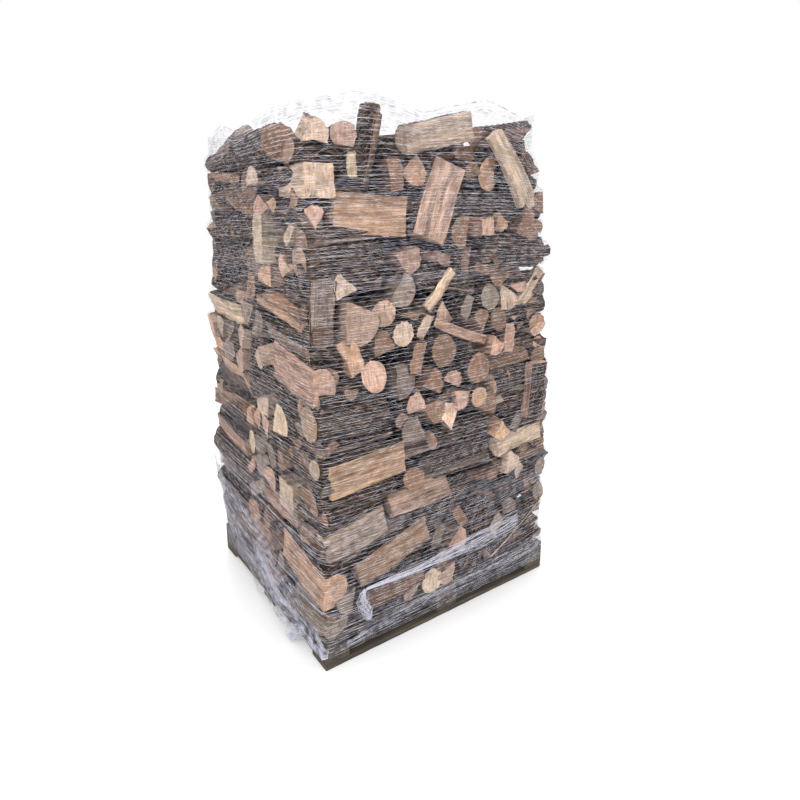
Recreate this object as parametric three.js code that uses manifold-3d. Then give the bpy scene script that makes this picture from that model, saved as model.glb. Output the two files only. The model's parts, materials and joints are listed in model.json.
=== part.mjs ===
// A pallet-sized bundle of split firewood: a timber pallet, a tower of jumbled
// logs and round branches on it, and the knitted net that is wound round them.
// Millimetres, +Z up. The origin is under the middle of the pallet, on the floor.
// +X runs along the front face, +Y runs from the front to the back.

import * as THREE from 'three';
import { mergeVertices } from 'three/addons/utils/BufferGeometryUtils.js';
import Module from 'manifold-3d';

const wasm = await Module();
wasm.setup();

// Pallet
const PALLET_WIDTH = 1040; // along X
const PALLET_DEPTH = 920; // along Y
const BOARD = 18; // thickness of the deck and bottom boards
const STRINGER_HEIGHT = 84;
const STRINGER_WIDTH = 95;
const DECK_BOARDS = 5;
const DECK_BOARD_WIDTH = 140;
const BOTTOM_BOARD_WIDTH = 100;
const GAP = 0.3; // left between two pieces that touch
const DECK_TOP = 2 * BOARD + STRINGER_HEIGHT + 2 * GAP;

// Pile
const PILE_TOP = 1785;
const LOG_LENGTH = [235, 330];
const GRID = [74, 62]; // how far apart places for a loose log are tried, along and up a face
const JITTER = [40, 32];
const TRIES = 24; // logs tried at each place, of which the best fitting one is kept
const FIT = 0.45; // if it is no further than this share of its radius inside another
const SETTLE_STEPS = 24; // after each size of log
const SINK = 0.3; // how far the logs sink at each of these steps
const SLACK = 10; // how far behind its face an outer log may lie
const PULL = 0.2; // how strongly it is drawn back to it, at each step
// Loose logs go in by size, some of them behind the others.
const SIZES = [
  { radius: [50, 66], ends: 0.12, behind: 0 },
  { radius: [41, 54], ends: 0.12, behind: 0 },
  { radius: [38, 52], ends: 0, behind: 45 },
  { radius: [32, 44], ends: 0.1, behind: 4 },
  { radius: [36, 52], ends: 0, behind: 100 },
  { radius: [26, 34], ends: 0.1, behind: 10 },
];
const CORE_INSET = 72; // the pile's solid is filled this far inside its faces
const CORE_DROP = 100; // and this far below its top
const HIDDEN = 4; // logs that stay this far behind every face are part of that filling

// Net
const NET_SIDES = 20;
const NET_PITCH = 160;
const NET_BAND = 14; // height of the band that stands for the net
const NET_THICK = 3;
const NET_START = 106;
const NET_CLEAR = 1.5;

// The colours of bark, split wood and sawn ends, seen from a step away
const COLOURS = {
  bark: 0x6b5a4c, brown: 0x8a6648, orange: 0xc58a58, pink: 0xc79a80, cream: 0xd9bd94, grey: 0x8d8175,
};

// Random numbers that are the same every time for the same seed
function numbers(seed) {
  let a = seed;
  return () => {
    a = (a + 0x6D2B79F5) | 0;
    let t = Math.imul(a ^ (a >>> 15), 1 | a);
    t = (t + Math.imul(t ^ (t >>> 7), 61 | t)) ^ t;
    return ((t ^ (t >>> 14)) >>> 0) / 4294967296;
  };
}

// The pile's faces lean in towards the top, and bulge a little.
const up = (z) => Math.max(0, z - 900) / 900;
const FACES = {
  front: { wall: (z) => 476 - 92 * up(z), half: 520, heading: 0, at: (u, d, z) => [u, -d, z] },
  right: { wall: (z) => 526 - 54 * up(z), half: 460, heading: 90, at: (u, d, z) => [d, u, z] },
  back: { wall: (z) => 472 - 88 * up(z), half: 520, heading: 180, at: (u, d, z) => [-u, d, z] },
  left: { wall: (z) => 534 + 12 * up(z), half: 460, heading: 270, at: (u, d, z) => [-d, -u, z] },
};
function bulge(face, u, z) {
  const phase = FACES[face].heading / 40;
  return 9 * Math.sin(u / 95 + phase) + 12 * Math.sin(z / 120 + 1.7 * phase + u / 400);
}

// Sections of a log, inside a circle of radius 1. The first coordinate points
// into the pile on a log that lies along a face, so flats there show outside.
const SECTIONS = {
  round: [[1, 0], [0.5, 0.85], [-0.45, 0.87], [-0.96, 0.1], [-0.55, -0.82], [0.45, -0.88]],
  half: [[0.95, 0.3], [0.4, 0.9], [-0.3, 0.94], [-0.3, -0.94], [0.4, -0.9], [0.95, -0.3]],
  wedge: [[0.9, 0.4], [0.45, 0.88], [-0.85, 0.05], [-0.85, -0.05], [0.45, -0.88], [0.9, -0.4]],
  slab: [[0.4, 0.9], [-0.36, 0.92], [-0.36, -0.92], [0.4, -0.9], [0.55, 0]],
  block: [[0.7, 0.7], [-0.68, 0.72], [-0.72, -0.68], [0.68, -0.72]],
};

// The same sections with fewer corners, for the loose logs
const PLAIN_ROUND = [[0.95, 0], [0.2, 0.95], [-0.85, 0.45], [-0.85, -0.45], [0.2, -0.95]];
const PLAIN_SECTIONS = {
  round: PLAIN_ROUND, half: PLAIN_ROUND, wedge: [[0.9, 0.35], [0.2, 0.9], [-0.85, 0], [0.2, -0.9]],
  slab: SECTIONS.slab, block: SECTIONS.block,
};

// How thick each section is, as a share of its circle, when logs press together
const GIRTH = { round: 0.97, half: 0.85, wedge: 0.76, slab: 0.7, block: 0.86 };
const KINDS = ['round', 'half', 'wedge', 'half', 'round', 'slab', 'wedge'];

// Vectors
const add = (a, b, s = 1) => [a[0] + b[0] * s, a[1] + b[1] * s, a[2] + b[2] * s];
const dot = (a, b) => a[0] * b[0] + a[1] * b[1] + a[2] * b[2];
const cross = (a, b) => [a[1] * b[2] - a[2] * b[1], a[2] * b[0] - a[0] * b[2], a[0] * b[1] - a[1] * b[0]];
const unit = (a) => add([0, 0, 0], a, 1 / Math.hypot(...a));
const rad = (degrees) => degrees * Math.PI / 180;

function direction(heading, tilt) {
  const h = rad(heading);
  const t = rad(tilt);
  return [Math.cos(h) * Math.cos(t), Math.sin(h) * Math.cos(t), Math.sin(t)];
}

// The logs that stand out in the bundle, each where it shows. On a face, u is
// the distance along it from its middle, to the right as that face is looked at.
// Columns: name, colour, section, face, u, z, length, radius, then the turn from
// the face (0 along it, 90 with an end showing), tilt, roll, and how far it sticks out.
const SHOWN_LOGS = [
  ['big_split_log', 'orange', 'half', 'front', -302, 1478, 270, 70, 0, -4, 0, 0],
  ['cream_block', 'cream', 'block', 'front', -462, 1586, 190, 70, 90, 0, 0, 0],
  ['triangle_end_log', 'pink', 'wedge', 'front', -488, 1490, 190, 46, 90, 0, 90, 0],
  ['leaning_slab', 'pink', 'half', 'front', -80, 1535, 262, 74, 0, 70, 0, 12],
  ['golden_top_slab', 'cream', 'half', 'front', 5, 1726, 290, 54, 0, 12, 0, 0],
  ['diagonal_slab', 'cream', 'slab', 'front', 287, 1646, 286, 42, 0, -53, 0, 38],
  ['top_right_log', 'pink', 'half', 'front', 335, 1738, 250, 46, 0, 8, 50, 0],
  ['right_bark_stub', 'grey', 'round', 'front', 400, 1640, 210, 40, 0, -30, 0, 0],
  ['right_small_end', 'cream', 'round', 'front', 425, 1555, 240, 27, 90, 0, 0, 0],
  ['right_dark_log', 'bark', 'round', 'front', 350, 1385, 250, 72, 0, -8, 0, 5],
  ['pink_block_end', 'pink', 'block', 'front', 215, 1432, 270, 50, 90, 0, 0, 0],
  ['long_dark_branch', 'bark', 'round', 'front', 140, 1538, 266, 40, 0, -5, 0, 0],
  ['steep_bark_log', 'brown', 'half', 'front', -260, 1690, 250, 58, 10, 74, 40, 0],
  ['pointed_log', 'cream', 'wedge', 'front', -478, 1732, 230, 48, 70, 10, 150, 0],
  ['cream_upright_end', 'cream', 'slab', 'front', -345, 1634, 230, 44, 90, 0, 0, 0],
  ['front_bark_log', 'bark', 'round', 'front', -386, 1350, 280, 54, 0, 1, 0, 0],
  ['pink_wedge_face', 'pink', 'wedge', 'front', -130, 1395, 260, 64, 90, 0, 200, 0],
  ['upright_bark_piece', 'grey', 'half', 'front', -500, 1216, 200, 44, 0, 86, 180, -8],
  ['pink_triangle_end', 'pink', 'wedge', 'front', -412, 1178, 290, 92, 90, 0, 239, 0],
  ['cream_round_end', 'cream', 'round', 'front', -200, 1112, 280, 45, 90, 0, 0, 4],
  ['pink_stick', 'pink', 'slab', 'front', 55, 1088, 245, 20, 0, -22, 0, 2],
  ['pale_stick', 'cream', 'slab', 'front', -25, 1240, 165, 22, 0, 48, 0, 4],
  ['large_brown_end', 'brown', 'round', 'front', 115, 955, 290, 60, 90, 0, 0, 0],
  ['oval_end', 'pink', 'half', 'front', -12, 930, 270, 46, 90, 0, 120, 2],
  ['orange_round_end', 'orange', 'round', 'front', 104, 852, 270, 40, 90, 0, 0, 2],
  ['blunt_log', 'brown', 'half', 'front', 280, 954, 210, 39, 0, 5, -30, 0],
  ['poking_slat', 'cream', 'slab', 'front', 415, 1188, 230, 34, 0, 47, 0, 0],
  ['hanging_slab', 'pink', 'slab', 'front', 412, 820, 220, 48, -12, 87, 0, 22],
  ['pink_wedge_end', 'pink', 'wedge', 'front', -150, 868, 260, 50, 90, 0, 30, 0],
  ['long_bark_log', 'bark', 'round', 'front', -405, 862, 270, 60, 0, 0, 0, 0],
  ['long_split_plank', 'orange', 'half', 'front', -340, 676, 290, 64, 0, 4, 0, 4],
  ['pink_round_log', 'pink', 'round', 'front', 60, 712, 240, 42, 0, 5, 0, 0],
  ['cream_ended_branch', 'grey', 'round', 'front', 65, 622, 270, 40, 0, 5, 0, 0],
  ['pale_right_block', 'cream', 'half', 'front', 345, 628, 240, 41, 0, 5, 0, 0],
  ['splintered_log', 'cream', 'half', 'front', -425, 470, 230, 60, 0, 12, 0, 0],
  ['low_orange_plank', 'orange', 'half', 'front', -250, 356, 300, 56, 0, 16, 0, 4],
  ['low_brown_block', 'brown', 'half', 'front', -240, 225, 240, 46, 0, 6, 0, 0],
  ['brown_top_log', 'brown', 'round', 'left', 80, 1718, 285, 66, 0, 3, 0, 10],
  ['cream_slab_end', 'cream', 'half', 'left', 150, 1615, 260, 50, 90, 0, 80, 10],
  ['tall_cream_end', 'cream', 'slab', 'left', 130, 1416, 260, 88, 90, 0, 0, 10],
  ['pale_standing_slab', 'cream', 'half', 'left', -20, 955, 235, 68, 0, 84, 0, 0],
  ['red_corner_log', 'pink', 'half', 'left', 318, 1004, 280, 72, 0, -8, 0, 0],
  ['cream_wedge_end', 'cream', 'wedge', 'left', 200, 800, 260, 82, 90, 0, 140, 0],
  ['bright_square_end', 'cream', 'block', 'left', 215, 537, 290, 82, 90, 0, 4, 0],
  ['corner_orange_log', 'orange', 'half', 'left', 330, 325, 310, 70, 0, -8, 0, 0],
  ['left_dark_branch', 'bark', 'round', 'left', -190, 1330, 300, 48, 0, 6, 0, 0],
];

// A log lying in a face: its middle is far enough in for its outermost corner
// to be level with the face, or to stick out of it by "out".
function logInFace(log, face, u, z, turn, tilt, out) {
  const { wall, heading, at } = FACES[face];
  const laid = { ...log, c: [0, 0, 0], d: direction(heading + turn, tilt), face };
  const outward = direction(heading - 90, 0);
  const depth = Math.max(...logEnds(laid, SECTIONS).flat().map((p) => dot(p, outward)));
  const rim = depth - out - Math.abs(dot(laid.d, outward)) * (log.length / 2 - 0.3 * log.radius);
  return { ...laid, rim, c: at(u, wall(z) + bulge(face, u, z) + out - depth, z) };
}

function shownLogs() {
  return SHOWN_LOGS.map(([name, colour, section, face, u, z, length, radius, turn, tilt, roll, out]) =>
    logInFace({ name, colour, section, length, radius, roll, skew: [0, 0] }, face, u, z, turn, tilt, out));
}

// Adds one loose log near a place on a face or on top, if one of the logs tried
// there fits between the others.
function addLooseLog(logs, fixed, size, face, place, seed) {
  const random = numbers(seed);
  const around = (spread) => spread * (random() + random() - 1);
  const between = (range) => range[0] + (range[1] - range[0]) * random();
  const all = [...logs, ...fixed];
  const spot = face
    ? FACES[face].at(place[0], FACES[face].wall(place[1]) - size.behind - 35, place[1])
    : [place[0], place[1], PILE_TOP - size.behind - 35];
  if (all.some((log) => clearance(log, spot) < 0)) return;
  let best = null;
  for (let i = 0; i < TRIES; i++) {
    const radius = between(size.radius);
    const length = between(LOG_LENGTH);
    const endOn = random() < size.ends;
    const turn = (endOn ? 90 : 0) + around(18);
    const tilt = random() < 0.08 ? 60 + around(30) : around(endOn ? 10 : 16);
    const p = place[0] + around(JITTER[0]);
    const q = place[1] + around(JITTER[1]);
    const heading = 360 * random();
    const section = KINDS[Math.floor(random() * KINDS.length)];
    const roll = 360 * random();
    const skew = [around(0.15), around(0.15)];
    const form = { length, radius, section, roll, skew };
    const log = face
      ? logInFace(form, face, p, Math.max(q, DECK_TOP + radius), turn, tilt, -size.behind)
      : { ...form, c: [p, q, PILE_TOP - radius - size.behind], d: direction(heading, tilt / 3) };
    const tips = [-1, 1].map((end) => add(log.c, log.d, end * (length / 2 - 0.3 * radius)));
    const outside = Math.max(...tips.map((tip) => Math.max(...Object.values(FACES).map((other) =>
      dot(tip, direction(other.heading - 90, 0)) + 0.6 * radius - other.wall(tip[2])))));
    const cost = all.reduce((most, other) => Math.max(most, contact(log, other).depth), outside - 20);
    if (!best || cost < best.cost) best = { cost, log };
  }
  if (best.cost < FIT * best.log.radius) logs.push(best.log);
}

// Fills the pile round the logs that show, size by size.
function looseLogs(fixed) {
  const logs = [];
  SIZES.forEach((size, pass) => {
    Object.keys(FACES).forEach((face, side) => {
      const limit = FACES[face].half - 60;
      for (let row = 0; DECK_TOP + 45 + GRID[1] * row < PILE_TOP - 40; row++) {
        for (let column = 0; GRID[0] * column <= 2 * limit; column++) {
          const place = [GRID[0] * column - limit, DECK_TOP + 45 + GRID[1] * row];
          addLooseLog(logs, fixed, size, face, place, ((pass * 4 + side) * 100 + row) * 100 + column);
        }
      }
    });
    for (let row = 0; row < 8; row++) {
      for (let column = 0; column < 9; column++) {
        addLooseLog(logs, fixed, size, null, [100 * (column - 4), 92 * (row - 3.5)], 900000 + pass * 10000 + row * 100 + column);
      }
    }
    settle(logs, fixed, SETTLE_STEPS, SINK);
  });
  return logs;
}

// How far a point is outside a log
function clearance(log, point) {
  const half = log.length / 2 - 0.3 * log.radius;
  const w = add(point, log.c, -1);
  const s = Math.min(Math.max(dot(w, log.d), -half), half);
  return Math.hypot(...add(w, log.d, -s)) - log.radius;
}

// The nearest points of two logs' axes, how far each is from the log's middle,
// the direction from the second log to the first, and how deep they overlap.
function contact(a, b) {
  const ha = a.length / 2 - 0.3 * a.radius;
  const hb = b.length / 2 - 0.3 * b.radius;
  const w = add(a.c, b.c, -1);
  const k = dot(a.d, b.d);
  const da = dot(a.d, w);
  const db = dot(b.d, w);
  const clamp = (v, limit) => Math.min(Math.max(v, -limit), limit);
  let s = clamp((k * db - da) / Math.max(1 - k * k, 1e-6), ha);
  const t = clamp(db + k * s, hb);
  s = clamp(k * t - da, ha);
  const apart = add(add(w, a.d, s), b.d, -t);
  const distance = Math.max(Math.hypot(...apart), 1e-6);
  const touch = a.radius * GIRTH[a.section] + b.radius * GIRTH[b.section];
  return { s, t, n: add([0, 0, 0], apart, 1 / distance), depth: touch + 2 - distance };
}

// Moves a log as if it were pushed by a vector at distance s along its axis.
function push(log, move, s) {
  const spin = log.name ? Infinity : log.length * log.length / 12 + s * s;
  log.move = add(log.move, move, 1 - s * s / spin);
  log.turn = add(log.turn, move, s / spin);
}

// Lets overlapping logs push each other apart inside the faces, while they sink
// a little at each step. Logs in "fixed" stay where they are, and a log with a
// name keeps its direction.
function settle(logs, fixed, steps, sink) {
  const all = [...logs, ...fixed];
  const near = (a, b) => Math.hypot(...add(a.c, b.c, -1)) < (a.length + b.length) / 2 + 120;
  let pairs = [];
  for (let step = 0; step < steps; step++) {
    if (step % 10 === 0) {
      pairs = [];
      logs.forEach((a, i) => { for (let j = i + 1; j < all.length; j++) if (near(a, all[j])) pairs.push([a, all[j]]); });
    }
    for (const log of all) { log.move = [0, 0, step < 0.6 * steps ? -sink : 0]; log.turn = [0, 0, 0]; }
    for (const [a, b] of pairs) {
      const { s, t, n, depth } = contact(a, b);
      if (depth > 0) {
        const share = fixed.includes(b) ? 0.6 : 0.3;
        push(a, add([0, 0, 0], n, depth * share), s);
        push(b, add([0, 0, 0], n, -depth * share), t);
      }
    }
    for (const log of logs) {
      for (const end of [-1, 1]) {
        const s = end * (log.length / 2 - 0.3 * log.radius);
        const tip = add(log.c, log.d, s);
        for (const face of Object.keys(FACES)) {
          const out = direction(FACES[face].heading - 90, 0);
          const u = dot(tip, direction(FACES[face].heading, 0));
          const across = Math.hypot(...cross(log.d, out));
          const rim = log.face === face ? log.rim : (0.3 + 0.7 * across) * log.radius;
          const over = dot(tip, out) + rim - FACES[face].wall(tip[2]) - bulge(face, u, tip[2]);
          const faces = log.face === face && (across > 0.7 || end * dot(log.d, out) > 0);
          if (over > 0) push(log, add([0, 0, 0], out, -0.5 * over), s);
          else if (faces && over < -SLACK) push(log, add([0, 0, 0], out, -PULL * (over + SLACK)), s);
        }
        const low = DECK_TOP + 2 + log.radius - tip[2];
        if (low > 0) push(log, [0, 0, 0.5 * low], s);
        const high = tip[2] + log.radius - PILE_TOP;
        if (high > 0 && !log.name) push(log, [0, 0, -0.5 * high], s);
      }
    }
    for (const log of logs) {
      log.c = add(log.c, log.move);
      log.d = unit(add(log.d, log.turn));
    }
  }
}

// Leaves out loose logs that settled too far inside another one.
function prune(logs, fixed, most) {
  return logs.reduce((kept, log) => {
    const clear = (other) => contact(log, other).depth < most;
    return fixed.every(clear) && kept.every(clear) ? [...kept, log] : kept;
  }, []);
}

// The corners of a log's two ends. Its section turns about the axis by its roll.
function logEnds(log, sections, grow = 0) {
  const flat = Math.abs(log.d[2]) < 0.97 ? [0, 0, 1] : [1, 0, 0];
  const side = unit(cross(flat, log.d));
  const rise = cross(log.d, side);
  const c = Math.cos(rad(log.roll));
  const s = Math.sin(rad(log.roll));
  const size = log.radius + grow;
  return [-1, 1].map((end) => sections[log.section].map(([a, b]) => {
    const p = (a * c - b * s) * size;
    const q = (a * s + b * c) * size;
    const along = end * (log.length / 2 + grow) + p * log.skew[0] + q * log.skew[1];
    return add(add(add(log.c, log.d, along), side, p), rise, q);
  }));
}

// A closed solid between rings of corners that all have the same count
function loft(rings) {
  const points = rings.flat();
  const n = rings[0].length;
  const index = [];
  for (let r = 0; r + 1 < rings.length; r++) {
    for (let i = 0; i < n; i++) {
      const j = (i + 1) % n;
      const [p, q, u, v] = [r * n + i, r * n + j, (r + 1) * n + i, (r + 1) * n + j];
      index.push(p, q, v, p, v, u);
    }
  }
  const last = (rings.length - 1) * n;
  for (let i = 1; i + 1 < n; i++) index.push(0, i + 1, i, last, last + i, last + i + 1);
  const geometry = new THREE.BufferGeometry();
  geometry.setAttribute('position', new THREE.Float32BufferAttribute(points.flat(), 3));
  geometry.setIndex(index);
  return geometry;
}

const logGeometry = (log, sections, grow) => loft(logEnds(log, sections, grow));

function toManifold(geometry) {
  const bare = geometry.clone();
  bare.deleteAttribute('normal');
  bare.deleteAttribute('uv');
  const merged = mergeVertices(bare, 1e-4);
  return new wasm.Manifold(new wasm.Mesh({
    numProp: 3,
    vertProperties: new Float32Array(merged.attributes.position.array),
    triVerts: new Uint32Array(merged.index.array),
  }));
}

function toGeometry(solid) {
  const mesh = solid.getMesh();
  const geometry = new THREE.BufferGeometry();
  geometry.setAttribute('position', new THREE.Float32BufferAttribute(mesh.vertProperties, 3));
  geometry.setIndex(Array.from(mesh.triVerts));
  return geometry;
}

// A ring of corners on the pile's faces at one height, moved in by "inset"
function faceRing(z, inset) {
  const [front, right, back, left] = Object.values(FACES).map((face) => face.wall(z) - inset);
  return [[right, -front, z], [right, back, z], [-left, back, z], [-left, -front, z]];
}

// Whether a loose log comes near enough to a face, or the top, to be seen
function shows(log) {
  const beyond = (p) => Math.max(p[2] - PILE_TOP + 40, ...Object.values(FACES).map((face) =>
    dot(p, direction(face.heading - 90, 0)) - face.wall(p[2])));
  return Math.max(...logEnds(log, PLAIN_SECTIONS).flat().map(beyond)) > -HIDDEN;
}

// The solid of all the loose logs: filled inside, log by log on its outside,
// with room left for the logs that are pieces of their own.
function pileGeometry(loose, shown) {
  const core = toManifold(loft([DECK_TOP + GAP, 900, PILE_TOP - CORE_DROP].map((z) => faceRing(z, CORE_INSET))));
  const logs = loose.filter(shows).map((log) => toManifold(logGeometry(log, PLAIN_SECTIONS)));
  const room = wasm.Manifold.union(shown.map((log) => toManifold(logGeometry(log, SECTIONS, 0.6))));
  const pallet = toManifold(board(-600, 600, -600, 600, 0, DECK_TOP + GAP));
  const solid = wasm.Manifold.union([core, ...logs]).simplify(12).subtract(room).subtract(pallet);
  const whole = solid.decompose().sort((a, b) => b.volume() - a.volume())[0];
  return toGeometry(whole);
}

// A log that shows, with a shallow dent where it would pass into one before it
function shownGeometry(log, before) {
  const plain = logGeometry(log, SECTIONS);
  const solid = toManifold(plain);
  const pressing = before.filter((other) => solid.intersect(toManifold(logGeometry(other, SECTIONS))).volume() > 0);
  if (pressing.length === 0) return plain;
  return toGeometry(solid.subtract(wasm.Manifold.union(pressing.map((other) => toManifold(logGeometry(other, SECTIONS, 0.5))))));
}

// How far the bundle reaches in each direction round it, between two heights
function reach(points, low, high) {
  const inside = points.filter((p) => p[2] >= low && p[2] <= high);
  return Array.from({ length: NET_SIDES }, (_, k) => {
    const a = 2 * Math.PI * k / NET_SIDES;
    return Math.max(...inside.map((p) => p[0] * Math.cos(a) + p[1] * Math.sin(a)));
  });
}

// The net stands as one band wound up round the bundle, drawn tight over the
// outermost logs: flat from one corner to the next.
function netGeometry(points) {
  const top = Math.max(...points.map((p) => p[2])) - NET_BAND;
  const steps = Math.floor((top - NET_START) / NET_PITCH * NET_SIDES - 0.5);
  const half = NET_PITCH / 2;
  const levels = Array.from({ length: Math.ceil((top - NET_START) / half) + 2 }, (_, i) => {
    const z = NET_START + half * i;
    return reach(points, Math.min(z, top) - half - 30, z + half + 30);
  });
  const heightAt = (step) => NET_START + NET_PITCH * step / NET_SIDES;
  const reachAt = (step) => {
    const place = (heightAt(step) - NET_START) / half;
    const i = Math.floor(place);
    const k = step % NET_SIDES;
    return levels[i][k] + (levels[i + 1][k] - levels[i][k]) * (place - i) + NET_CLEAR;
  };
  const rings = [];
  for (let step = 0; step < steps; step++) {
    const a = 2 * Math.PI * step / NET_SIDES;
    const b = 2 * Math.PI * (step + 1) / NET_SIDES;
    const corner = (extra) => {
      const p = reachAt(step) + extra;
      const q = reachAt(step + 1) + extra;
      const turn = Math.sin(b - a);
      return [(p * Math.sin(b) - q * Math.sin(a)) / turn, (q * Math.cos(a) - p * Math.cos(b)) / turn];
    };
    const z = heightAt(step + 0.5);
    const inner = corner(0);
    const outer = corner(NET_THICK);
    rings.push([[...inner, z], [...inner, z + NET_BAND], [...outer, z + NET_BAND], [...outer, z]]);
  }
  return loft(rings);
}

function board(x0, x1, y0, y1, z0, z1) {
  const geometry = new THREE.BoxGeometry(x1 - x0, y1 - y0, z1 - z0);
  return geometry.translate((x0 + x1) / 2, (y0 + y1) / 2, (z0 + z1) / 2);
}

const group = new THREE.Group();

function addPiece(name, geometry, colour) {
  const material = new THREE.MeshStandardMaterial({ color: colour, roughness: 0.9, metalness: 0 });
  const mesh = new THREE.Mesh(geometry, material);
  mesh.name = name;
  group.add(mesh);
}

// Pallet: three bottom boards, three stringers and the deck boards
const halfWidth = PALLET_WIDTH / 2;
const halfDepth = PALLET_DEPTH / 2;
['front', 'middle', 'back'].forEach((where, i) => {
  const y = (i - 1) * (halfDepth - BOTTOM_BOARD_WIDTH / 2);
  addPiece(`pallet_bottom_board_${where}`, board(-halfWidth, halfWidth, y - BOTTOM_BOARD_WIDTH / 2,
    y + BOTTOM_BOARD_WIDTH / 2, 0, BOARD), COLOURS.bark);
});
['left', 'middle', 'right'].forEach((where, i) => {
  const x = (i - 1) * (halfWidth - STRINGER_WIDTH / 2);
  const z = BOARD + GAP;
  addPiece(`pallet_stringer_${where}`, board(x - STRINGER_WIDTH / 2, x + STRINGER_WIDTH / 2, -halfDepth,
    halfDepth, z, z + STRINGER_HEIGHT), COLOURS.grey);
});
for (let i = 0; i < DECK_BOARDS; i++) {
  const y = -halfDepth + (PALLET_DEPTH - DECK_BOARD_WIDTH) * i / (DECK_BOARDS - 1);
  addPiece(`pallet_deck_board_${i + 1}`, board(-halfWidth, halfWidth, y, y + DECK_BOARD_WIDTH,
    DECK_TOP - BOARD, DECK_TOP), COLOURS.grey);
}

// Logs. Those that show settle first, then the loose ones settle round them.
const shown = shownLogs();
settle(shown, [], 40, 0);
const loose = prune(looseLogs(shown), shown, 16);
shown.forEach((log, i) => addPiece(log.name, shownGeometry(log, shown.slice(0, i)), COLOURS[log.colour]));
addPiece('heap_of_logs', pileGeometry(loose, shown), COLOURS.brown);

// Net, round the pallet's edge at its foot and round the logs above it
const palletEdge = [[1, 1], [1, -1], [-1, 1], [-1, -1]].flatMap(([x, y]) =>
  [40, DECK_TOP].map((z) => [x * halfWidth, y * halfDepth, z]));
const outlines = [...shown.map((log) => logEnds(log, SECTIONS)), ...loose.map((log) => logEnds(log, PLAIN_SECTIONS, 2))];
const logPoints = outlines.flatMap(([first, last]) => {
  return first.flatMap((p, i) => [0, 0.25, 0.5, 0.75, 1].map((t) => add(p, add(last[i], p, -1), t)));
});
addPiece('net', netGeometry([...palletEdge, ...logPoints]), 0xdfe0ea);

export default group;
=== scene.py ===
# %% [markdown]
# # A netted stack of firewood on a pallet
#
# The real object is a pallet of split logs and round branches, thrown in loosely and wound
# round with white knitted pallet net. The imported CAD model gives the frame: where the pallet
# is, and where the logs that stand out lie. This lesson dresses it: rough bark, split grain,
# sawn ends, weathered boards, and the net strand by strand.
#
# Everything is in metres, with the origin under the middle of the pallet. The pile is worked
# out in millimetres, as in the CAD source, and turned into metres when a mesh is made.

import json
import math

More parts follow.
